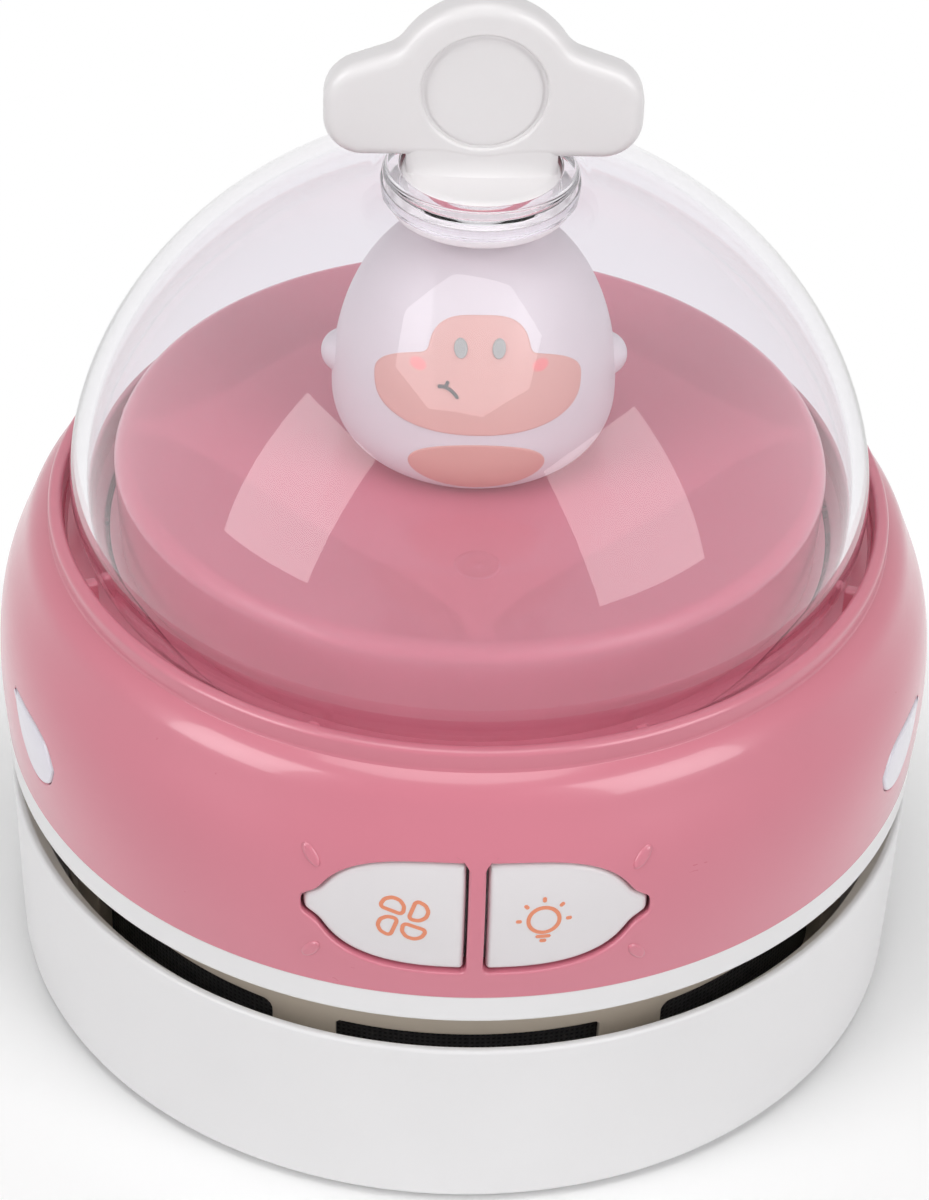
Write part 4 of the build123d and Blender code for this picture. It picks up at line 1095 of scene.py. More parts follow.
class Base(Assembly):
    """Skirt, floor with its duct, slotted drum, brush tufts and pads."""

    sizes = BaseSizes()

    def build(self) -> None:
        """Build every piece."""
        self.skirt()
        self.floor()
        self.duct()
        self.drum()
        self.bristles()
        self.pads()

    def skirt(self) -> None:
        """Ring wall with the ledge that the floor rests on."""
        size = self.sizes
        box = Extent.of("base_skirt")
        outer, inner = box.radius, box.radius - size.skirt_wall
        foot_inner = inner - size.skirt_taper
        draft = MeshDraft("skirt")
        draft.add_turned(rounded_path([
            (foot_inner, box.foot, 0.3), (outer - size.skirt_taper, box.foot, size.edge_round),
            (outer, box.top, size.lip_round), (outer - 2 * size.lip_round, box.top, size.lip_round),
            (inner, box.top - size.lip_depth, 0.4), (foot_inner, size.floor_foot, 0.2),
            (foot_inner - size.ledge_width, size.floor_foot, 0.2),
            (foot_inner - size.ledge_width, size.floor_foot - size.ledge_thickness, 0.2),
            (foot_inner, size.floor_foot - size.ledge_thickness, 0.2)]), 480)
        draft.finish(self.palette["white_plastic"], Body.CUP, ["base_skirt"], "white_plastic")

    def sweep(self, rows: Sequence[tuple[Array | float, float]], turns: Array) -> Array:
        """Grid round the axis whose radii may change with the azimuth.

        Args:
            rows: radius, or radii by azimuth, and height of each row.
            turns: azimuths in degrees.

        Returns:
            The grid.
        """
        angle = np.radians(turns)
        radii = np.stack([np.broadcast_to(radius, turns.shape) for radius, _ in rows])
        heights = np.array([height for _, height in rows])[:, None] + 0 * radii
        return np.stack([radii * np.sin(angle), -radii * np.cos(angle), heights], -1)

    def floor(self) -> None:
        """Floor of the cup with its obround hole and four bosses."""
        size = self.sizes
        box = Extent.of("cup_floor")
        turns = full_turn(480)
        inner = obround_radius(turns, size.inlet_length, size.inlet_width)
        low, high, radius = size.floor_foot, size.floor_top, box.radius
        rows = [(inner, low + 0.3), (inner + 0.09, low + 0.09), (inner + 0.3, low),
                (radius - 0.2, low), (radius - 0.06, low + 0.06), (radius, low + 0.2),
                (radius, high - 0.2), (radius - 0.06, high - 0.06), (radius - 0.2, high),
                (inner + 0.1, high), (inner, high - 0.1)]
        draft = MeshDraft("cup_plate")
        draft.add(self.sweep(rows, turns), wrap_rows=True, wrap_columns=True)
        boss_top = high - size.overlap
        boss = rounded_path([(0.0, box.foot, 0.0), (size.boss_radius, box.foot, 0.3),
                             (size.boss_radius, boss_top, 0.0), (0.0, boss_top, 0.0)])
        for x, y in quarter_places(size.boss_circle):
            draft.add_turned(boss, 48, x, y)
        draft.finish(self.palette["white_plastic"], Body.CUP, ["cup_floor"], "white_plastic")

    def duct(self) -> None:
        """Obround wall round the inlet, rounded at its top."""
        size = self.sizes
        turns = full_turn(480)
        inner = obround_radius(turns, size.inlet_length, size.inlet_width)
        growth = 2 * size.duct_wall
        outer = obround_radius(turns, size.inlet_length + growth, size.inlet_width + growth)
        low, high = size.floor_top, size.duct_top
        rows = [(outer, low), (outer, high - 0.3), (outer - 0.1, high - 0.09), (outer - 0.3, high),
                (inner + 0.3, high), (inner + 0.1, high - 0.09), (inner, high - 0.3), (inner, low)]
        draft = MeshDraft("duct")
        draft.add(self.sweep(rows, turns), wrap_rows=True, wrap_columns=True)
        draft.finish(self.palette["white_plastic"], Body.CUP, ["inlet_duct"], "white_plastic")

    def drum(self) -> None:
        """Slotted drum on its inner flange."""
        size = self.sizes
        box = Extent.of("dust_drum")
        radius = box.radius
        low, high = size.slot_foot - size.slot_margin, size.slot_top + size.slot_margin
        columns = np.arange(-90.0, 270.0, 0.5)
        heights = np.unique(np.concatenate([np.linspace(size.flange_top, low, 5), np.linspace(low, high, 22),
                                            np.linspace(high, box.top - 0.3, 8)]))
        middle = (size.slot_foot + size.slot_top) / 2
        openings = []
        for number in range(8):
            azimuth = 45.0 * number - (360.0 if number > 5 else 0.0)
            corner = size.front_corner if number == 0 else size.slot_corner
            outline = rounded_rectangle(size.slot_width, size.slot_top - size.slot_foot, corner, 0.0, middle)
            span = (azimuth - size.slot_span, azimuth + size.slot_span)
            openings.append(Opening(azimuth, outline, span, (low, high)))
        draft = MeshDraft("drum")
        pierced_wall(draft, lambda z: np.full_like(z, radius), size.drum_wall, heights, columns, openings,
                     size.drum_lip)
        inner = radius - size.drum_wall
        top = rounded_path([(radius, box.top - 0.3, 0.0), (radius, box.top, 0.25), (inner, box.top, 0.25),
                            (inner, box.top - 0.3, 0.0)], closed=False, hold=0.0)
        foot = rounded_path([(inner, size.flange_top, 0.0), (size.flange_inner, size.flange_top, 0.25),
                             (size.flange_inner, box.foot, 0.25), (radius, box.foot, 0.25),
                             (radius, size.flange_top, 0.0)], closed=False, hold=0.0)
        for profile in (top, foot):
            draft.add(lathe(profile, columns), wrap_columns=True)
        draft.finish(self.palette["smoke_plastic"], Body.CUP, ["dust_drum"], "smoke_plastic")

    def bristles(self) -> None:
        """Two rows of bristle tufts, each a tapered bundle whose tips spread a little."""
        size = self.sizes
        box = Extent.of("bristles")
        random = np.random.default_rng(7)
        across = np.arange(box.low[0] + 0.35, box.high[0] - 0.3, size.tuft_pitch)
        lanes = np.array([-1.0, 0.0, 1.0]) * size.tuft_lane
        middle = (box.high[1] + box.low[1]) / 2
        distance = (box.high[1] - box.low[1]) / 2 - size.tuft_setback
        x, lane, side = (part.ravel() for part in np.meshgrid(across, lanes, [-1.0, 1.0]))
        foot = np.stack([x, middle + side * distance + lane, np.full_like(x, box.top)], -1)
        drift = random.uniform(-size.tuft_drift, size.tuft_drift, (len(x), 2))
        tip = foot + np.concatenate([drift, np.full((len(x), 1), box.foot - box.top)], axis=1)
        turn = np.arange(6) * math.pi / 3
        circle = np.stack([np.cos(turn), np.sin(turn), 0 * turn], -1)
        radii, shares = np.array(size.tuft_radii), np.array(size.tuft_shares)
        spine = foot[:, None] + (tip - foot)[:, None] * shares[:, None]
        tufts = spine[:, :, None] + circle * radii[:, None, None]
        draft = MeshDraft("brush_tufts")
        for tuft in tufts:
            draft.add(tuft, wrap_columns=True)
        draft.finish(self.palette["nylon_bristle"], Body.CUP, ["bristles"], "nylon_bristle")

    def pads(self) -> None:
        """Four felt pads with soft rims."""
        box = Extent.of("glide_pads")
        radius = self.sizes.boss_radius
        profile = rounded_path([(0.0, box.foot, 0.0), (radius, box.foot, 0.25), (radius, box.top, 0.12),
                                (0.0, box.top, 0.0)])
        draft = MeshDraft("felt_pads")
        for x, y in quarter_places(self.sizes.boss_circle):
            draft.add_turned(profile, 64, x, y)
        draft.finish(self.palette["pad_felt"], Body.CUP, ["glide_pads"], "pad_felt")


# ---------------------------------------------------------------- chassis
@dataclass(frozen=True)
class ChassisSizes:
    """Sizes of the chassis, in millimetres."""

    trim_wall: float = 2.2
    trim_foot: float = 24.0
    deck_foot: float = 25.1
    deck_top: float = 27.1
    spigot_outer: float = 38.3
    spigot_inner: float = 36.8
    spigot_foot: float = 20.6
    lip_outer: float = 43.0
    lip_inner: float = 41.7
    lip_top: float = 29.1
    cup_outer: float = 12.9
    cup_inner: float = 11.5
    cup_top: float = 35.1
    bore: float = 3.1
    rail_x: float = 16.0
    rail_y: float = -34.1
    rail_width: float = 3.6
    rail_depth: float = 3.2
    rail_end: float = 1.6
    rail_top: float = 43.5
    sill_top: float = 29.5
    slot: float = 0.7
    ledge_top: float = 29.0
    ledge_half: float = 11.0
    ledge_near: float = 36.8
    ledge_far: float = 39.8
    post_radius: float = 3.0
    post_x: float = 8.0
    post_y: float = 26.8
    overlap: float = 0.2


class Chassis(Assembly):
    """White deck whose edge is the trim ring, with the seats of what it carries."""

    sizes = ChassisSizes()

    def build(self) -> None:
        """Build the deck as one closed lathe, with rails, sill, ledge and posts on it."""
        size = self.sizes
        trim = Extent.of("chassis").radius
        profile = rounded_path([
            (size.bore, size.deck_foot, 0.2), (size.spigot_inner, size.deck_foot, 0.3),
            (size.spigot_inner, size.spigot_foot, 0.4), (size.spigot_outer, size.spigot_foot, 0.4),
            (size.spigot_outer, size.deck_foot, 0.3), (trim - size.trim_wall, size.deck_foot, 0.4),
            (trim - size.trim_wall, size.trim_foot, 0.3), (trim, size.trim_foot, 0.45),
            (trim, size.deck_top, 0.1),
            (size.lip_outer, size.deck_top, 0.1), (size.lip_outer, size.lip_top, 0.3),
            (size.lip_inner, size.lip_top, 0.3), (size.lip_inner, size.deck_top, 0.2),
            (size.cup_outer, size.deck_top, 0.4), (size.cup_outer, size.cup_top, 0.4),
            (size.cup_inner, size.cup_top, 0.3), (size.cup_inner, size.deck_top, 0.1),
            (size.bore, size.deck_top, 0.2),
        ])
        draft = MeshDraft("deck")
        draft.add_turned(profile, 360)
        foot = size.deck_top - size.overlap
        half_x, half_y = size.rail_width / 2, size.rail_depth / 2
        near, far = size.rail_y - half_y, size.rail_y + half_y
        post = rounded_path([(0.0, foot, 0.0), (size.post_radius, foot, 0.0),
                             (size.post_radius, size.ledge_top, 0.3), (0.0, size.ledge_top, 0.0)])
        for side in (-1, 1):
            centre = side * size.rail_x
            for face, back in ((near, size.rail_y - size.slot), (size.rail_y + size.slot, far)):
                draft.add_block((centre - half_x, face, foot), (centre + half_x, back, size.rail_top))
            left, right = sorted((centre + side * half_x, centre + side * (half_x - size.rail_end)))
            draft.add_block((left, near, foot), (right, far, size.rail_top))
            draft.add_turned(post, 48, side * size.post_x, size.post_y)
        draft.add_block((-size.rail_x, near, foot), (size.rail_x, far, size.sill_top))
        draft.add_block((-size.ledge_half, size.ledge_near, foot),
                        (size.ledge_half, size.ledge_far, size.ledge_top))
        draft.finish(self.palette["white_plastic"], Body.HOUSING, ["chassis"], "white_plastic")


# ---------------------------------------------------------------- body shell
@dataclass(frozen=True)
class ShellSizes:
    """Sizes of the body shell, in millimetres."""

    base_radius: float = 45.1
    wall: float = 2.0
    foot: float = 27.1
    side_height: float = 22.3
    outline: tuple[tuple[float, float], ...] = ((0.0, 0.0), (0.21, 0.31), (0.435, 0.23), (0.66, -0.63),
                                                (0.86, -2.35), (0.955, -3.45), (1.0, -4.8))
    bead_outer: float = 40.15
    bead_inner: float = 38.8
    bead_top: float = 51.5
    bead_round: float = 0.5
    groove_floor: float = 48.1
    ring_foot: float = 46.1
    ring_inner: float = 31.0
    window_centre: float = 36.3
    window_half_width: float = 14.3
    window_half_height: float = 6.05
    window_power: float = 3.6
    window_bar: float = 1.5
    window_span: float = 21.5     # azimuths of the wall that one half of the window takes
    window_rise: tuple[float, float] = (29.2, 43.4)
    nub_reach: float = 15.5
    nub_half_height: float = 1.4375
    lip: float = 0.22
    inlay_azimuth: float = 64.8
    inlay_centre: float = 35.0
    inlay_length: float = 10.0
    inlay_height: float = 5.8
    inlay_gap: float = 0.06
    inlay_span: float = 8.0
    inlay_rise: tuple[float, float] = (30.9, 39.1)
    inlay_pocket: float = 1.1
    port_width: float = 9.64
    port_height: float = 3.9
    port_centre: float = 31.8
    port_span: float = 8.0
    port_rise: tuple[float, float] = (29.2, 34.5)
    button_gap: float = 0.25
    button_sunk: float = 0.35
    stem_offset: float = 7.0
    stem_radius: float = 2.4
    stroke_width: float = 0.36
    stroke_proud: float = 0.03
    rib_width: float = 1.2
    rib_top: float = 50.6
    rib_inner: float = 37.5
    column_circle: float = 34.6
    column_radius: float = 2.8
    column_bore: float = 1.0
    column_overlap: float = 0.2
    tick_offset: float = 14.6
    tick_rise: float = 5.2
    tick_length: float = 2.4
    tick_width: float = 1.2
    tick_proud: float = 0.22
    tick_tilt: float = 35.0


class BodyShell(Assembly):
    """Pink shell with its window, side inlays, buttons and icons."""

    sizes = ShellSizes()

    def __init__(self, palette: Palette) -> None:
        """Keep the finishes and sample the side's curve.

        Args:
            palette: the finishes.
        """
        super().__init__(palette)
        size = self.sizes
        self.curve = smooth_curve([(size.base_radius + swell, size.foot + share * size.side_height)
                                   for share, swell in size.outline])

    def radius(self, height: Array) -> Array:
        """Outer radius of the side by height."""
        return np.interp(height, self.curve[:, 1], self.curve[:, 0])

    def window(self, side: Side) -> Outline:
        """One half of the lemon-shaped window.

        With a turn t from 0 to 180 degrees its points are x = a sin(t)^(2/p) + b / (1 + (z/n)^6)
        and z = c cos(t), closed by the edge along the bar.

        Args:
            side: the half.

        Returns:
            The outline.
        """
        size = self.sizes
        crest, bar = size.window_half_height, size.window_bar / 2
        turn = np.linspace(0.02, math.pi - 0.02, 400)
        z = crest * np.cos(turn)
        nub = (size.nub_reach - size.window_half_width) / (1 + (z / size.nub_half_height) ** 6)
        x = size.window_half_width * np.sin(turn) ** (2 / size.window_power) + nub
        keep = x > bar + 1.5
        curve = np.stack([x[keep], z[keep]], -1)
        corner = rounded_path([(curve[0, 0], crest, 0.0), (bar, crest, 0.45), (bar, -crest, 0.7),
                               (curve[-1, 0], -crest, 0.0)], closed=False, steps=12, hold=0.0)
        path = np.vstack([curve, corner[::-1]])
        path[:, 0] *= side.value
        path[:, 1] += size.window_centre
        return Outline(path)

    def drop(self, side: Side) -> Outline:
        """Drop of a side inlay, with a round front end and a pointed tail.

        Args:
            side: the inlay.

        Returns:
            The outline.
        """
        size = self.sizes
        half, crest = size.inlay_length / 2, size.inlay_height / 2
        upper = smooth_curve([(half, crest), (half * 0.45, crest * 1.02), (-half * 0.1, crest * 0.98),
                              (-half * 0.72, crest * 0.68), (-half, crest * 0.1)], 160)
        lower = smooth_curve([(-half, crest * 0.1), (-half * 0.82, -crest * 0.62), (-half * 0.35, -crest),
                              (half * 0.35, -crest * 0.45), (half, crest)], 160)
        path = np.vstack([upper, lower[1:-1]])
        path[:, 0] *= side.value
        path[:, 1] += size.inlay_centre
        return Outline(path)

    def build(self) -> None:
        """Build the shell and everything in its wall."""
        self.shell()
        for side in Side:
            self.inlay(side)
            self.button(side)
        self.fan_icon()
        self.bulb_icon()

    def shell(self) -> None:
        """Side wall with its openings, rim bead, groove, ribs, columns and ticks."""
        size = self.sizes
        columns = np.unique(np.round(np.concatenate([
            np.arange(-90.0, 270.0, 1.0), np.arange(-24.0, 24.01, 0.25), np.arange(56.0, 74.0, 0.5),
            np.arange(-74.0, -56.0, 0.5), np.arange(172.0, 188.01, 0.5)]), 3))
        low, high = size.window_rise
        heights = np.unique(np.round(np.concatenate([
            np.linspace(size.foot + 0.3, low, 6), np.linspace(low, high, 40), np.linspace(high, 49.2, 14)]), 6))
        openings = []
        for side in Side:
            span = (0.0, size.window_span) if side is Side.RIGHT else (-size.window_span, 0.0)
            openings.append(Opening(0.0, self.window(side), span, size.window_rise))
            azimuth = side.value * size.inlay_azimuth
            span = (azimuth - size.inlay_span, azimuth + size.inlay_span)
            openings.append(Opening(azimuth, self.drop(side).grown(size.inlay_gap), span,
                                    size.inlay_rise, size.inlay_pocket))
        port = rounded_rectangle(size.port_width, size.port_height, size.port_height / 2 - 0.01,
                                 0.0, size.port_centre)
        openings.append(Opening(180.0, port, (180.0 - size.port_span, 180.0 + size.port_span), size.port_rise))
        draft = MeshDraft("shell")
        pierced_wall(draft, self.radius, size.wall, heights, columns, openings, size.lip)
        first, last = float(self.radius(heights[0])), float(self.radius(heights[-1]))
        foot = rounded_path([
            (first, heights[0], 0.0), (first, size.foot, 0.15), (first - size.wall, size.foot, 0.2),
            (first - size.wall, heights[0], 0.0)], closed=False, hold=0.0)
        bead_foot = size.foot + size.side_height
        crest = rounded_path([
            (last, heights[-1], 0.0), (size.bead_outer + 0.08, bead_foot, 0.1),
            (size.bead_outer, bead_foot + 0.3, 0.2), (size.bead_outer, size.bead_top, size.bead_round),
            (size.bead_inner, size.bead_top, size.bead_round),
            (size.bead_inner, size.groove_floor, 0.3), (size.ring_inner, size.groove_floor, 0.2),
            (size.ring_inner, size.ring_foot, 0.2), (last - size.wall - 0.6, size.ring_foot, 0.3),
            (last - size.wall, heights[-1], 0.0)], closed=False, hold=0.0)
        for profile in (foot, crest):
            draft.add(lathe(profile, columns), wrap_columns=True)
        self.add_ribs(draft)
        self.add_columns(draft)
        self.add_ticks(draft)
        draft.finish(self.palette["pink_plastic"], Body.HOUSING, ["body_shell"], "pink_plastic", 50.0)

    def add_ribs(self, draft: MeshDraft) -> None:
        """Add the eight ribs of the groove.

        Args:
            draft: mesh of the shell.
        """
        size = self.sizes
        outline = rounded_rectangle(size.rib_width, size.rib_top - size.groove_floor + 1.0, 0.3, 0.0,
                                    (size.rib_top + size.groove_floor - 1.0) / 2)
        rings = slab_rings(outline, size.bead_inner + 0.3, size.rib_inner + 0.1, 0.1, 0.15, 48, 3)
        for number in range(8):
            turn = math.radians(22.5 + 45 * number)

            def place(x: Array, z: Array, reach: float, turn: float = turn) -> Array:
                """Point at a distance from the axis, on the rib's azimuth."""
                return np.stack([x * math.cos(turn) + reach * math.sin(turn),
                                 x * math.sin(turn) - reach * math.cos(turn), z], -1)

            draft.add(surface(rings, place), wrap_columns=True)

    def add_columns(self, draft: MeshDraft) -> None:
        """Add the four screw columns under the groove.

        Args:
            draft: mesh of the shell.
        """
        size = self.sizes
        top = size.ring_foot + size.column_overlap
        profile = rounded_path([(size.column_bore, size.foot, 0.2), (size.column_radius, size.foot, 0.2),
                                (size.column_radius, top, 0.0), (size.column_bore, top, 0.0)])
        for x, y in quarter_places(size.column_circle):
            draft.add_turned(profile, 36, x, y)

    def add_ticks(self, draft: MeshDraft) -> None:
        """Add the four raised ovals round the window, with soft edges.

        Args:
            draft: mesh of the shell.
        """
        size = self.sizes
        for side in (-1, 1):
            for level in (-1, 1):
                outline = oval(size.tick_length / 2, size.tick_width / 2, side * size.tick_offset,
                               size.window_centre + level * size.tick_rise, 90 - side * level * size.tick_tilt)
                rings = slab_rings(outline, -size.tick_proud, 0.4, size.tick_proud * 1.6, 0.1, 48)
                draft.add(surface(rings, Facet(0.0, self.radius).place), wrap_columns=True)

    def inlay(self, side: Side) -> None:
        """Glossy drop with a soft rim.

        Args:
            side: the inlay.
        """
        facet = Facet(side.value * self.sizes.inlay_azimuth, self.radius)
        label = side.name.lower()
        draft = MeshDraft(f"inlay_{label}")
        rings = slab_rings(self.drop(side), -0.12, 1.0, 0.3, 0.1, 360)
        draft.add(surface(rings, facet.place), wrap_columns=True)
        draft.finish(self.palette["white_gloss"], Body.HOUSING, [f"side_inlay_{label}"], "white_gloss")

    def button(self, side: Side) -> None:
        """Button plate with a bevelled rim, its flange behind the wall and its stem.

        Args:
            side: the button.
        """
        size = self.sizes
        facet = Facet(0.0, self.radius)
        node = "fan_button" if side is Side.LEFT else "light_button"
        body = Body.FAN if side is Side.LEFT else Body.LIGHT
        draft = MeshDraft(f"{node}_plate")
        window = self.window(side)
        plate = slab_rings(window.grown(-size.button_gap), size.button_sunk, 2.6, 0.5, 0.1, 420, 7)
        draft.add(surface(plate, facet.place), wrap_columns=True)
        x, z = window.points.T
        wide = np.where(x * side.value > size.window_bar / 2 + 0.2, x + side.value * 0.3, x)
        tall = size.window_centre + (z - size.window_centre) * 1.14
        flange = slab_rings(Outline(np.stack([wide, tall], -1)), 2.15, 3.0, 0.15, 0.15, 240, 3)
        draft.add(surface(flange, facet.place), wrap_columns=True)
        stem = oval(size.stem_radius, size.stem_radius, side.value * size.stem_offset, size.window_centre)
        rings = slab_rings(stem, -41.0, float(Extent.of(node).high[1]), 0.1, 0.3, 48, 3)
        draft.add(surface(rings, upright_ring), wrap_columns=True)
        draft.finish(self.palette["button_white"], body, [node], "button_white", 50.0)

    def stroke(self, path: Array, closed: bool) -> Array:
        """Grid of an icon's stroke along a path, on the faces of the buttons."""
        size = self.sizes
        place = Facet(0.0, lambda z: self.radius(z) - size.button_sunk).place
        return ribbon(path, size.stroke_width, size.stroke_proud, closed, place)

    def fan_icon(self) -> None:
        """Fan with four half-moon blades about its middle, in thin strokes."""
        draft = MeshDraft("fan_icon")
        centre = np.array([-6.45, self.sizes.window_centre - 0.1])
        blade = rounded_path([(-1.1, -0.65, 0.36), (1.1, -0.65, 0.36), (0.92, 0.3, 0.7), (0.36, 0.76, 0.7),
                              (-0.36, 0.76, 0.7), (-0.92, 0.3, 0.7)], steps=8, hold=0.0)
        blade = Outline(blade).ring(0.0, even_shares(96))
        for number in range(4):
            lean = math.radians(-18 + 90 * number)
            bearing = lean + math.radians(140)
            middle = 1.66 * np.array([math.cos(bearing), math.sin(bearing)])
            across = np.array([math.cos(lean), math.sin(lean)])
            along = np.array([-math.sin(lean), math.cos(lean)])
            path = centre + middle + blade[:, :1] * across + blade[:, 1:] * along
            draft.add(self.stroke(path, True), wrap_rows=True, wrap_columns=True)
        draft.finish(self.palette["icon_ink"], Body.FAN)

    def bulb_icon(self) -> None:
        """Light bulb with five rays over two base lines, in thin strokes."""
        draft = MeshDraft("bulb_icon")
        centre = np.array([6.0, self.sizes.window_centre - 0.1])
        turn = np.linspace(0, 2 * math.pi, 72, endpoint=False)
        bulb = centre + 1.38 * np.stack([np.cos(turn), np.sin(turn)], -1)
        draft.add(self.stroke(bulb, True), wrap_rows=True, wrap_columns=True)
        share = np.linspace(0, 1, 12)[:, None]
        strokes = [((-0.7, -1.85), (0.7, -1.85)), ((-0.32, -2.36), (0.32, -2.36))]
        for number in range(5):
            lean = math.radians(45 * number)
            spoke = np.array([math.cos(lean), math.sin(lean)])
            strokes.append((tuple(spoke * 1.95), tuple(spoke * 2.5)))
        for start, end in strokes:
            path = centre + np.array(start) * (1 - share) + np.array(end) * share
            draft.add(self.stroke(path, False), wrap_rows=True)
        draft.finish(self.palette["icon_ink"], Body.LIGHT)


# ---------------------------------------------------------------- cover, dome and knob
@dataclass(frozen=True)
class TopSizes:
    """Sizes of the cover, dome and knob, in millimetres."""

    cover_radius: float = 33.6
    cover_shoulder: float = 57.8
    cover_top: float = 58.1
    cover_wall: float = 1.8
    cover_round: float = 1.5
    edge_run: float = 4.0
    seat_radius: float = 9.5
    light_hole: float = 4.5
    hook: tuple[tuple[float, float, float], ...] = ((28.4, 44.5, 0.2), (30.9, 44.5, 0.3), (30.9, 48.2, 0.0),
                                                    (33.4, 48.2, 0.0), (33.4, 49.7, 0.2), (29.5, 49.7, 0.2))
    hook_span: float = 5.5        # half of its azimuths, in degrees
    gate_distance: float = 21.5
    gate: tuple[tuple[float, float], ...] = ((0.0, 0.1), (0.25, 0.1), (0.4, 0.05), (0.55, 0.012),
                                             (1.55, 0.012), (1.75, 0.06), (1.95, 0.06), (2.1, 0.0))
    gate_depth: float = 0.2
    groove_floor: float = 48.1
    dome_radius: float = 38.0
    dome_foot_radius: float = 36.35
    dome_equator: float = 53.7
    dome_rise: float = 34.0
    dome_power: float = 1.8
    dome_wall: float = 1.6
    collar_radius: float = 8.7
    collar_foot: float = 83.3
    collar_top: float = 86.8
    collar_bore: float = 7.26
    plug_radius: float = 7.2
    plug_round: float = 0.9
    lip_radius: float = 8.1
    lip_foot: float = 82.4
    lip_top: float = 83.2
    disc_radius: float = 8.5
    disc_centre: float = 94.9
    disc_ease: float = 0.9
    recess_radius: float = 5.6
    recess_depth: float = 0.5
    recess_round: float = 0.25
    plate_thickness: float = 3.6
    plate_round: float = 1.1
    wing_reach: float = 14.2
    wing_foot: float = 88.3
    wing_root_half: float = 6.0
    wing_root_top: float = 99.3
    wing_tip_top: float = 96.3
    foot_round: float = 0.5
    neck_width: float = 13.6
    neck_step: float = 0.12
    neck_flare: float = 1.6


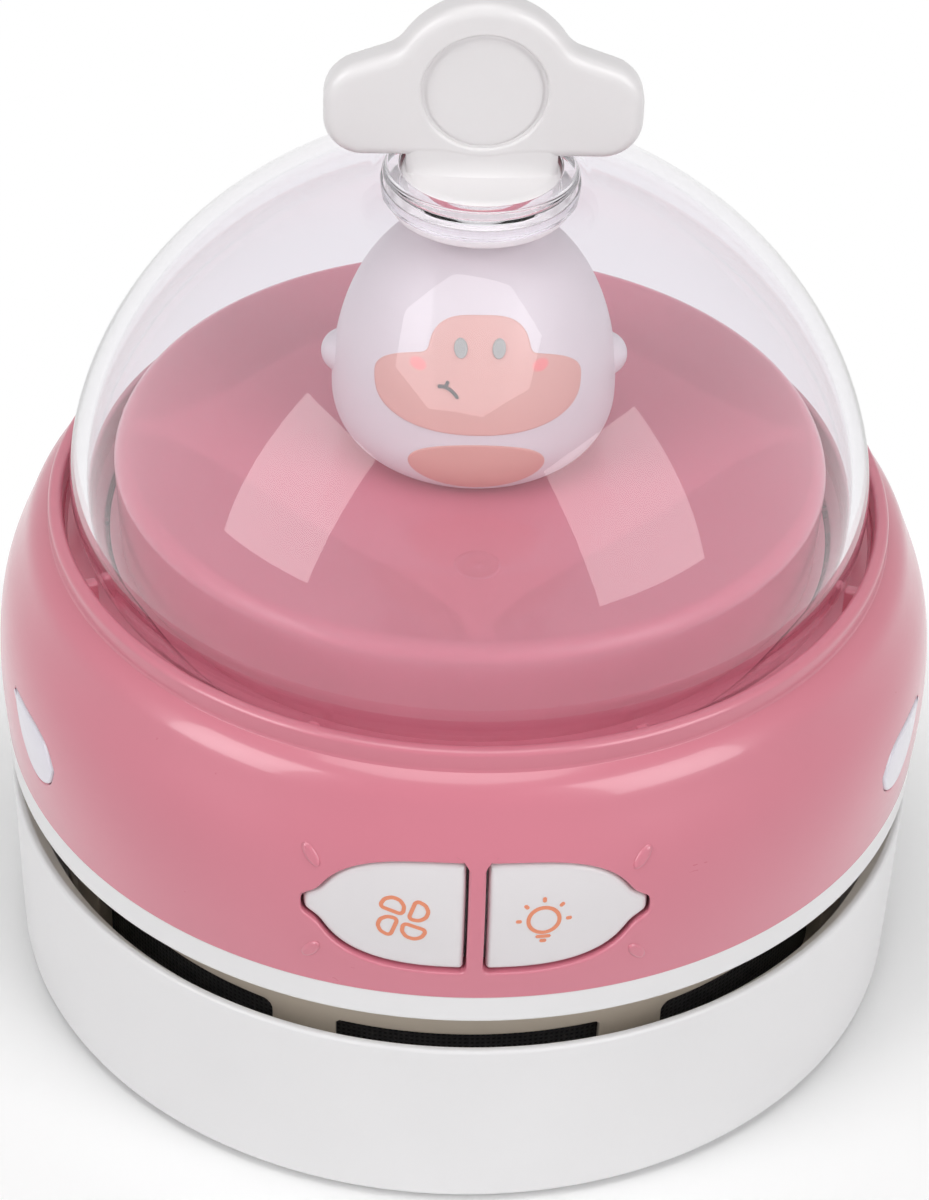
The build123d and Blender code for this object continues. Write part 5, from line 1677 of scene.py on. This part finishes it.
class Top(Assembly):
    """Pink cover, clear dome and winged knob."""

    sizes = TopSizes()

    def build(self) -> None:
        """Build every piece."""
        self.cover()
        self.dome()
        self.knob()

    def cover_outline(self, inset: float) -> Array:
        """Outer outline of the cover from its foot to the light hole, moved inwards.

        The crown between radii a and b rises as 3 s^2 - 2 s^3 eased by its edge slope.

        Args:
            inset: distance inwards.

        Returns:
            Rows of (radius, height).
        """
        size = self.sizes
        radius, shoulder, top = size.cover_radius - inset, size.cover_shoulder - inset, size.cover_top - inset
        edge = (size.cover_top - size.cover_shoulder) * 0.25
        start, foot = radius - size.edge_run, shoulder + edge
        corner = max(size.cover_round - inset * 0.8, 0.3)
        rim = rounded_path([(radius, size.groove_floor, 0.0), (radius, shoulder, corner), (start, foot, 0.0)],
                           closed=False, steps=10, hold=0.3)
        share = np.linspace(0, 1, 40)[1:]
        run = start - size.seat_radius
        slope = edge / size.edge_run * run
        height = foot + slope * share * (1 - share) ** 2 + (top - foot) * (3 * share ** 2 - 2 * share ** 3)
        crown = np.stack([start - run * share, height], -1)
        return np.vstack([rim, crown, [[size.light_hole, top]]])

    def cover(self) -> None:
        """Cover as one closed lathe with its four snap hooks, then the gate mark on its crown."""
        size = self.sizes
        outer = self.cover_outline(0.0)
        inner = self.cover_outline(size.cover_wall)[::-1]
        draft = MeshDraft("cover")
        draft.add_turned(np.vstack([outer, inner]), 360)
        hook = rounded_path(size.hook)
        for number in range(4):
            grid = lathe(hook, np.linspace(-size.hook_span, size.hook_span, 12) + 90 * number)
            middle = grid.mean(0, keepdims=True)
            capped = np.concatenate([np.repeat(middle[:, :1], len(hook), 0), grid,
                                     np.repeat(middle[:, -1:], len(hook), 0)], axis=1)
            draft.add(capped, wrap_rows=True)
        draft.finish(self.palette["pink_plastic"], Body.HOUSING, ["top_cover"], "pink_plastic")
        mark = MeshDraft("gate_mark")
        turn = np.radians(full_turn(96))
        rows = []
        for radius, rise in size.gate:
            x, y = radius * np.cos(turn), -size.gate_distance + radius * np.sin(turn)
            height = np.interp(np.hypot(x, y), outer[::-1, 0], outer[::-1, 1])
            rows.append(np.stack([x, y, height + rise], -1))
        rows.append(rows[-1] - np.array([0.0, 0.0, size.gate_depth]))
        rows.append(np.broadcast_to(rows[-1].mean(0), rows[-1].shape))
        mark.add(np.stack(rows), wrap_columns=True)
        mark.finish(self.palette["pink_plastic"], Body.HOUSING, ["top_cover"], "pink_plastic", 60.0)

    def dome_outline(self, inset: float) -> Array:
        """Outline of the dome from its foot to the collar, moved inwards.

        Above the equator it is the superellipse r = a cos(t)^(2/p), z = b sin(t)^(2/p); below it
        the radius falls with the square of the depth.

        Args:
            inset: distance inwards.

        Returns:
            Rows of (radius, height).
        """
        size = self.sizes
        depth = size.dome_equator - size.groove_floor
        share = np.linspace(1, 0, 12, endpoint=False)
        taper = size.dome_radius - size.dome_foot_radius
        skirt = np.stack([size.dome_radius - taper * share ** 2 - inset, size.dome_equator - depth * share], -1)
        angle = np.radians(np.linspace(0, 74, 90))
        power = 2 / size.dome_power
        crown = np.stack([(size.dome_radius - inset) * np.cos(angle) ** power,
                          size.dome_equator + (size.dome_rise - inset) * np.sin(angle) ** power], -1)
        path = np.vstack([skirt, crown])
        return path[path[:, 0] > size.collar_radius + 0.4]

    def dome(self) -> None:
        """Dome as one closed lathe that ends in its collar."""
        size = self.sizes
        outer = self.dome_outline(0.0)
        inner = self.dome_outline(size.dome_wall)[::-1]
        collar = rounded_path([
            (outer[-1, 0], outer[-1, 1], 0.0), (size.collar_radius, outer[-1, 1] + 0.1, 0.25),
            (size.collar_radius, size.collar_top, 0.35), (size.collar_bore, size.collar_top, 0.25),
            (size.collar_bore, size.collar_foot, 0.15), (size.collar_radius, size.collar_foot, 0.25),
            (size.collar_radius, inner[0, 1] + 0.05, 0.2), (inner[0, 0], inner[0, 1], 0.0)],
            closed=False, hold=0.0)
        inset, rise = 0.25, 0.2
        foot = np.array([[inner[-1, 0] + inset, size.groove_floor], [outer[0, 0] - inset, size.groove_floor]])
        inner[-1, 1] += rise
        outer[0, 1] += rise
        draft = MeshDraft("dome")
        draft.add_turned(np.vstack([outer, collar[1:-1], inner, foot]), 360)
        draft.finish(self.palette["clear_plastic"], Body.DOME, ["clear_dome"], "clear_plastic", 60.0)

    def plate_outline(self) -> Outline:
        """Outline of the handle: a disc and a winged plate whose joins are eased.

        Both are measured from the disc's centre. Above it the greater spoke of the two is taken,
        below it the spoke of the plate.

        Returns:
            The outline.
        """
        size = self.sizes
        wings = rounded_path([
            (size.wing_reach, size.wing_foot, 3.6), (size.wing_reach, size.wing_tip_top, 3.9),
            (size.wing_root_half, size.wing_root_top, 1.0), (-size.wing_root_half, size.wing_root_top, 1.0),
            (-size.wing_reach, size.wing_tip_top, 3.9), (-size.wing_reach, size.wing_foot, 3.6)],
            steps=40, hold=0.0)
        turn = np.linspace(-math.pi, math.pi, 1440, endpoint=False)
        spoke = spoke_lengths(Outline(wings).points - np.array([0.0, size.disc_centre]), turn)
        spoke = np.where(turn > 0, eased_maximum(spoke, size.disc_radius, size.disc_ease), spoke)
        return Outline(np.stack([spoke * np.cos(turn), size.disc_centre + spoke * np.sin(turn)], -1))

    def knob(self) -> None:
        """Knob: plate with a round recess on both faces, neck, plug and lip."""
        size = self.sizes
        outline = self.plate_outline()
        shares = even_shares(720)
        base = outline.ring(0.0, shares)
        centre = np.array([0.0, size.disc_centre])
        angle = np.arctan2(base[:, 1] - centre[1], base[:, 0])
        circle = np.stack([np.cos(angle), np.sin(angle)], -1)
        half, floor = size.plate_thickness / 2, size.plate_thickness / 2 - size.recess_depth
        edge, arc = size.recess_radius, quarter_arc(size.recess_round, 4)
        rings: list[Ring] = [(centre + circle * radius, floor) for radius in (0.0, 2.0, 4.0, edge - 0.5)]
        inner = edge - size.recess_round
        rings += [(centre + circle * (inner + run), floor + rise) for rise, run in arc[::-1]]
        rings += [(centre + circle * (edge + run), half - rise) for rise, run in arc]
        inward = outline.ring(-1.0, shares) - base
        low = np.exp(-((angle + math.pi / 2) / math.radians(20)) ** 2)
        bevel = (size.plate_round + (size.foot_round - size.plate_round) * low)[:, None]
        near, rim = centre + circle * (edge + 0.3), base + inward * bevel
        rings += [(near * (1 - mix) + rim * mix, half) for mix in (0.0, 0.3, 0.6, 0.9)]
        rings += [(base + inward * bevel * inset, half - bevel[:, 0] * sunk)
                  for inset, sunk in quarter_arc(1.0, 8)]
        rings += [(points, -y) for points, y in rings[::-1]]
        draft = MeshDraft("knob_handle")
        draft.add(surface(rings, lambda x, z, y: upright_ring(x, z, -y)), wrap_columns=True)
        draft.add_turned(rounded_path([
            (0.0, size.lip_foot, 0.0), (size.lip_radius, size.lip_foot, 0.2),
            (size.lip_radius, size.lip_top, 0.2), (size.plug_radius, size.lip_top, 0.1),
            (size.plug_radius, size.collar_top, size.plug_round), (0.0, size.collar_top, 0.0)]), 160)
        draft.add(self.neck(), wrap_columns=True)
        draft.finish(self.palette["knob_white"], Body.KNOB, ["knob"], "white_plastic", 50.0)

    def neck(self) -> Array:
        """Neck between the plug and the plate, whose foot flares into the plug.

        The half-depth at x grows by f (1 - (x / r)^2) with the plug's radius r and a flare f that
        falls to nothing along a quarter circle.

        Returns:
            Grid of points.
        """
        size = self.sizes
        low, high = size.collar_top - 0.3, size.wing_foot + 0.8
        outline = rounded_rectangle(size.neck_width, size.plate_thickness - size.neck_step, 0.9, 0.0, 0.0)
        shares = even_shares(160)
        base = outline.ring(0.0, shares)
        swell = np.stack([0 * shares, 1 - (base[:, 0] / size.plug_radius) ** 2], -1) * np.sign(base)
        share = np.linspace(0, 1, 12)
        flare = size.neck_flare * (1 - np.sqrt(1 - (1 - np.clip(share * 1.4, 0, 1)) ** 2))
        tip = outline.shrunk(0.0, 0.0, shares)
        rings = [(base + swell * grow, float(low + (high - low) * part)) for part, grow in zip(share, flare)]
        return surface([(tip, low), *rings, (tip, high)], lying_ring)


# ---------------------------------------------------------------- figurine
@dataclass(frozen=True)
class FigureSizes:
    """Sizes of the figurine, in millimetres."""

    radius: float = 13.2
    base_radius: float = 8.6
    belly_rise: float = 5.4
    foot: float = 58.1
    height: float = 23.3
    power: float = 2.15
    ear_radius: float = 2.1
    ear_rise: float = 8.6
    face_centre: float = 70.0
    face_half_width: float = 9.3
    face_half_height: float = 3.8
    face_power: float = 3.2
    face_ease: float = 0.8
    brow_rise: float = 2.4
    brow_half_width: float = 4.6
    brow_half_height: float = 4.2
    brow_power: float = 2.8
    tummy_centre: float = 62.5
    tummy_half_width: float = 6.2
    tummy_half_height: float = 2.7
    eye_offset: float = 1.7
    eye_centre: float = 74.1
    eye_half_width: float = 0.6
    eye_half_height: float = 0.8
    eye_proud: float = 0.3
    mouth_offset: float = -2.75
    mouth_centre: float = 70.5
    mouth_width: float = 0.3
    mouth_proud: float = 0.06
    proud: float = 0.12


class Figurine(Assembly):
    """Egg-shaped animal with round ears, a face patch and a tummy patch."""

    sizes = FigureSizes()

    def profile(self) -> Array:
        """Outline of the egg: a quarter ellipse below the belly, a superellipse above it.

        Returns:
            Rows of (radius, height) from foot to crown.
        """
        size = self.sizes
        belly = size.foot + size.belly_rise
        turn = np.linspace(0, math.pi / 2, 24, endpoint=False)
        lower = np.stack([size.base_radius + (size.radius - size.base_radius) * np.sin(turn),
                          belly - size.belly_rise * np.cos(turn)], -1)
        turn = np.linspace(0, math.pi / 2, 72)
        power = 2 / size.power
        upper = np.stack([size.radius * np.cos(turn) ** power,
                          belly + (size.height - size.belly_rise) * np.sin(turn) ** power], -1)
        return np.vstack([lower, upper])

    def radius(self, height: Array) -> Array:
        """Radius of the egg by height."""
        profile = self.profile()
        return np.interp(height, profile[:, 1], profile[:, 0])

    def build(self) -> None:
        """Build every piece."""
        size = self.sizes
        profile = self.profile()
        foot = rounded_path([(0.0, size.foot, 0.0), (size.base_radius - 0.3, size.foot, 0.0)], closed=False)
        profile[0] += (0.05, 0.25)
        draft = MeshDraft("figure_egg")
        draft.add(lathe(np.vstack([foot[[0, -1]], profile]), full_turn(160)), wrap_columns=True)
        draft.finish(self.palette["figure_white"], Body.HOUSING, ["figurine_body"], "figure_white")
        self.ears()
        self.patch("figure_face", self.face(), size.proud, "figure_rose", "figurine_face")
        tummy = oval(size.tummy_half_width, size.tummy_half_height, 0.0, size.tummy_centre)
        self.patch("figure_tummy", tummy, size.proud, "figure_salmon", "figurine_tummy")
        for side in Side:
            eye = oval(size.eye_half_width, size.eye_half_height, side.value * size.eye_offset, size.eye_centre)
            self.patch(f"figure_eye_{side.name.lower()}", eye, size.eye_proud, "figure_ink")
        self.mouth()

    def face(self) -> Outline:
        """Outline of the face patch: the greater spoke of a wide oval and a raised, squarer brow.

        The wide oval is |x/p|^n + |z/q|^n = 1, where n is its power below its middle and 2 above;
        the brow has a power of its own and is read off by its angle from the same middle.

        Returns:
            The outline.
        """
        size = self.sizes
        turn = np.linspace(-math.pi, math.pi, 1440, endpoint=False)
        cosine, sine = np.cos(turn), np.sin(turn)
        power = np.where(sine < 0, size.face_power, 2.0)
        wide = (np.abs(cosine / size.face_half_width) ** power
                + np.abs(sine / size.face_half_height) ** power) ** (-1 / power)
        bend = 2 / size.brow_power
        x = size.brow_half_width * np.sign(cosine) * np.abs(cosine) ** bend
        z = size.brow_rise + size.brow_half_height * np.sign(sine) * np.abs(sine) ** bend
        spoke = eased_maximum(wide, spoke_lengths(np.stack([x, z], -1), turn), size.face_ease)
        return Outline(np.stack([spoke * cosine, size.face_centre + spoke * sine], -1))

    def ears(self) -> None:
        """Round ears, set into the sides."""
        size = self.sizes
        box = Extent.of("figurine_ears")
        turn = np.linspace(0, math.pi, 25)
        profile = np.stack([size.ear_radius * np.sin(turn), -size.ear_radius * np.cos(turn)], -1)
        ball = lathe(profile, full_turn(48))
        draft = MeshDraft("figure_ears")
        offset, rise = box.radius - size.ear_radius, size.foot + size.ear_rise
        for side in (-1, 1):
            draft.add(ball + np.array([side * offset, 0.0, rise]), wrap_columns=True)
        draft.finish(self.palette["figure_white"], Body.HOUSING, ["figurine_ears"], "figure_white")

    def patch(self, name: str, outline: Outline, proud: float, finish: str, node: str | None = None) -> None:
        """Thin patch with a soft rim on the front of the egg.

        Args:
            name: name of the piece.
            outline: its outline.
            proud: height over the egg.
            finish: name of its material.
            node: node that it stands for.
        """
        draft = MeshDraft(name)
        rings = slab_rings(outline, -proud, 0.1, min(proud, 0.14), 0.02, 144, 4)
        draft.add(surface(rings, Facet(0.0, self.radius).place), wrap_columns=True)
        draft.finish(self.palette[finish], Body.HOUSING, [node] if node else [], finish if node else None)

    def mouth(self) -> None:
        """Small mouth on the face patch: a falling stroke and a short one that meets it.

        Each is the curve (1 - s)^2 a + 2 s (1 - s) b + s^2 c through its start a and its end c.
        """
        size = self.sizes
        share = np.linspace(0, 1, 24)[:, None]
        middle = np.array([size.mouth_offset, size.mouth_centre])
        place = Facet(0.0, lambda z: self.radius(z) + size.proud).place
        strokes = (((-0.95, 0.1), (0.0, 0.5), (0.9, -0.75)), ((0.0, 0.75), (-0.15, 0.4), (-0.3, 0.15)))
        draft = MeshDraft("figure_mouth")
        for start, bend, end in strokes:
            curve = (1 - share) ** 2 * start + 2 * share * (1 - share) * bend + share ** 2 * end
            draft.add(ribbon(middle + curve, size.mouth_width, size.mouth_proud, False, place), wrap_rows=True)
        draft.finish(self.palette["mouth_ink"], Body.HOUSING)


# ---------------------------------------------------------------- nodes that keep their shape
class Insides(Assembly):
    """Nodes of the frame that are shown as they are, with their finishes."""

    FINISHES = {
        "mesh_screen": "screen_mesh", "brush_backing": "grey_plastic", "drum_screws": "steel",
        "shell_screws": "steel", "fan_plunger": "black_plastic", "light_plunger": "black_plastic",
        "fan_switch": "black_plastic", "light_switch": "black_plastic", "button_board": "circuit_board",
        "motor_can": "steel", "motor_magnets": "magnet", "motor_endcap": "white_plastic",
        "motor_rotor": "steel", "motor_sleeve": "rubber", "motor_clamp": "steel", "impeller": "grey_plastic",
        "battery": "battery_foil", "battery_cradle": "white_plastic", "charge_board": "circuit_board",
        "usb_socket": "steel", "led_board": "circuit_board", "led_chips": "led_yellow",
        "led_screws": "steel", "deck_screws": "steel",
    }

    def __init__(self, palette: Palette, nodes: dict[str, bpy.types.Object]) -> None:
        """Keep the finishes, and the frame's objects by their node names."""
        super().__init__(palette)
        self.nodes = nodes

    def dress(self) -> None:
        """Give each node its finish."""
        for node, finish in self.FINISHES.items():
            mesh = self.nodes[node].data
            if not mesh.materials:
                mesh.materials.append(self.palette[finish])
            for index in range(len(mesh.materials)):
                mesh.materials[index] = self.palette[finish]
            LOG.info("%s: %s", node, finish)


# ---------------------------------------------------------------- studio
class Diffuser(Enum):
    """Form of a softbox: its number of corners."""

    SQUARE = 4
    OCTAGON = 8


@dataclass(frozen=True)
class Softbox:
    """Lamp with a diffuser, aimed at the object; its glow is relative to white."""

    name: str
    azimuth: float
    elevation: float
    distance: float
    width: float
    height: float
    glow: float
    form: Diffuser = Diffuser.SQUARE
    turn: float = 0.0


class Studio:
    """Camera, pale floor, plain world and softboxes."""

    TARGET = Vector((-0.05, 0.0, 37.7)) * MM
    DISTANCE = 340.0 * MM
    AZIMUTH = math.radians(-2.6)
    ELEVATION = math.radians(37.2)
    ROLL = math.radians(2.14)
    FOCAL = 3462.0                # in pixels of a picture whose long side is LONG_SIDE
    LONG_SIDE = 1200.0
    SENSOR = 36.0
    AIM = Vector((0.0, 0.0, 60.0)) * MM
    FLOOR_HALF = 3.0              # in metres
    FADE_START = 45.0 * MM
    FADE_RUN = 30.0 * MM
    FILL = 0.12                   # light of the surroundings, where 1 is the white that is seen
    LAMPS = (
        Softbox("softbox_left", -58.6, 27.5, 0.9, 0.46, 0.64, 4.0),
        Softbox("softbox_right", 48.7, 27.5, 0.9, 0.54, 0.68, 3.5),
        Softbox("softbox_top", -12.0, 80.0, 0.9, 0.62, 0.62, 3.5, Diffuser.OCTAGON, 22.5),
    )

    def build(self) -> None:
        """Build the whole studio."""
        self.camera()
        self.floor()
        self.world()
        for lamp in self.LAMPS:
            self.softbox(lamp)

    @staticmethod
    def bearing(azimuth: float, elevation: float) -> Vector:
        """Unit vector that points from the object to an azimuth and elevation in radians."""
        level = math.cos(elevation)
        return Vector((math.sin(azimuth) * level, -math.cos(azimuth) * level, math.sin(elevation)))

    def camera(self) -> None:
        """Camera at the viewing angle, with its roll about the line of sight."""
        data = bpy.data.cameras.new("camera")
        data.sensor_fit = "AUTO"
        data.sensor_width = self.SENSOR
        data.lens = self.FOCAL * self.SENSOR / self.LONG_SIDE
        data.clip_start = 0.01
        data.clip_end = 20.0
        camera = bpy.data.objects.new("camera", data)
        back = self.bearing(self.AZIMUTH, self.ELEVATION)
        across = Vector((math.cos(self.AZIMUTH), math.sin(self.AZIMUTH), 0.0))
        upward = back.cross(across)
        right = across * math.cos(self.ROLL) + upward * math.sin(self.ROLL)
        head = upward * math.cos(self.ROLL) - across * math.sin(self.ROLL)
        rotation = Matrix((right, head, back)).transposed()
        camera.matrix_world = Matrix.Translation(self.TARGET + back * self.DISTANCE) @ rotation.to_4x4()
        bpy.context.scene.collection.objects.link(camera)
        bpy.context.scene.camera = camera
        LOG.info("camera at %s", camera.location)

    def floor(self) -> None:
        """Pale floor that keeps the object's shadow and turns plain white away from it."""
        mesh = bpy.data.meshes.new("floor")
        half = self.FLOOR_HALF
        mesh.from_pydata([(-half, -half, 0.0), (half, -half, 0.0), (half, half, 0.0), (-half, half, 0.0)],
                         [], [(0, 1, 2, 3)])
        floor = bpy.data.objects.new("floor", mesh)
        bpy.context.scene.collection.objects.link(floor)
        shader, material, body = Shader.material("floor_paper")
        paper = shader.tint(shader.noise(40.0, 2.0), (250, 250, 250), (253, 253, 253))
        shader.link(paper, body.inputs["Base Color"])
        body.inputs["Roughness"].default_value = 0.9
        body.inputs["Specular IOR Level"].default_value = 0.1
        reach = shader.node("ShaderNodeVectorMath", operation="LENGTH")
        shader.link(shader.place(), reach.inputs[0])
        beyond = shader.math("SUBTRACT", reach.outputs["Value"], self.FADE_START)
        away = shader.math("MULTIPLY", beyond, 1 / self.FADE_RUN, True)
        mask = shader.math("MULTIPLY", away, self.seen(shader))
        shader.blend(mask, body, shader.node("ShaderNodeEmission"))
        mesh.materials.append(material)

    @staticmethod
    def seen(shader: Shader) -> bpy.types.NodeSocket:
        """Mask of the camera, glossy and transmission rays that haven't met a matt surface.

        Args:
            shader: tree to add it to.

        Returns:
            Socket of the mask.
        """
        path = shader.node("ShaderNodeLightPath").outputs
        mirrored = shader.math("MAXIMUM", path["Is Glossy Ray"], path["Is Transmission Ray"])
        seen = shader.math("MAXIMUM", path["Is Camera Ray"], mirrored)
        return shader.math("MULTIPLY", seen, shader.math("LESS_THAN", path["Diffuse Depth"], 0.5))

    def world(self) -> None:
        """Plain white surroundings."""
        world = bpy.data.worlds.new("studio")
        bpy.context.scene.world = world
        world.use_nodes = True
        shader = Shader(world.node_tree)
        background = world.node_tree.nodes["Background"]
        background.inputs["Color"].default_value = (1.0, 1.0, 1.0, 1.0)
        shown = shader.math("MULTIPLY", self.seen(shader), 1.0 - self.FILL)
        shader.link(shader.math("ADD", shown, self.FILL), background.inputs["Strength"])
        bpy.context.scene.view_settings.view_transform = "Standard"

    def softbox(self, lamp: Softbox) -> None:
        """Softbox that points at the middle of the object.

        A square one is an area lamp of radiance g, so its power is pi g times its area. The
        octagon is a glowing sheet with its corners on an ellipse.

        Args:
            lamp: the lamp.
        """
        back = self.bearing(math.radians(lamp.azimuth), math.radians(lamp.elevation))
        stand = (Matrix.Translation(self.AIM + back * lamp.distance)
                 @ back.to_track_quat("Z", "Y").to_matrix().to_4x4()
                 @ Matrix.Rotation(math.radians(lamp.turn), 4, "Z"))
        if lamp.form is Diffuser.SQUARE:
            data = bpy.data.lights.new(lamp.name, "AREA")
            data.shape = "RECTANGLE"
            data.size = lamp.width
            data.size_y = lamp.height
            data.energy = math.pi * lamp.glow * lamp.width * lamp.height
        else:
            turn = np.arange(lamp.form.value) * 2 * math.pi / lamp.form.value
            corners = np.stack([lamp.width / 2 * np.cos(turn), lamp.height / 2 * np.sin(turn), 0 * turn], -1)
            data = bpy.data.meshes.new(lamp.name)
            data.from_pydata(corners, [], [list(range(lamp.form.value))])
            data.materials.append(self.glow(lamp))
        light = bpy.data.objects.new(lamp.name, data)
        light.matrix_world = stand
        light.visible_transmission = False
        bpy.context.scene.collection.objects.link(light)
        LOG.info("%s: glow %.1f", lamp.name, lamp.glow)

    @staticmethod
    def glow(lamp: Softbox) -> bpy.types.Material:
        """Material of a glowing diffuser.

        Args:
            lamp: the lamp.

        Returns:
            The material.
        """
        shader, material, body = Shader.material(f"{lamp.name}_diffuser")
        body.inputs["Base Color"].default_value = (0.0, 0.0, 0.0, 1.0)
        body.inputs["Specular IOR Level"].default_value = 0.0
        body.inputs["Emission Strength"].default_value = lamp.glow
        shader.link(shader.tint(shader.noise(80.0, 1.0), (250, 250, 250), (255, 255, 255)),
                    body.inputs["Emission Color"])
        return material


def main() -> None:
    """Build the looks in order, from the base to the studio."""
    logging.basicConfig(level=logging.INFO, format="%(message)s")
    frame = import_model()
    palette = Palette()
    Base(palette).build()
    Chassis(palette).build()
    BodyShell(palette).build()
    Top(palette).build()
    Figurine(palette).build()
    Insides(palette, frame["nodes"]).dress()
    Studio().build()


if __name__ == "__main__":
    main()
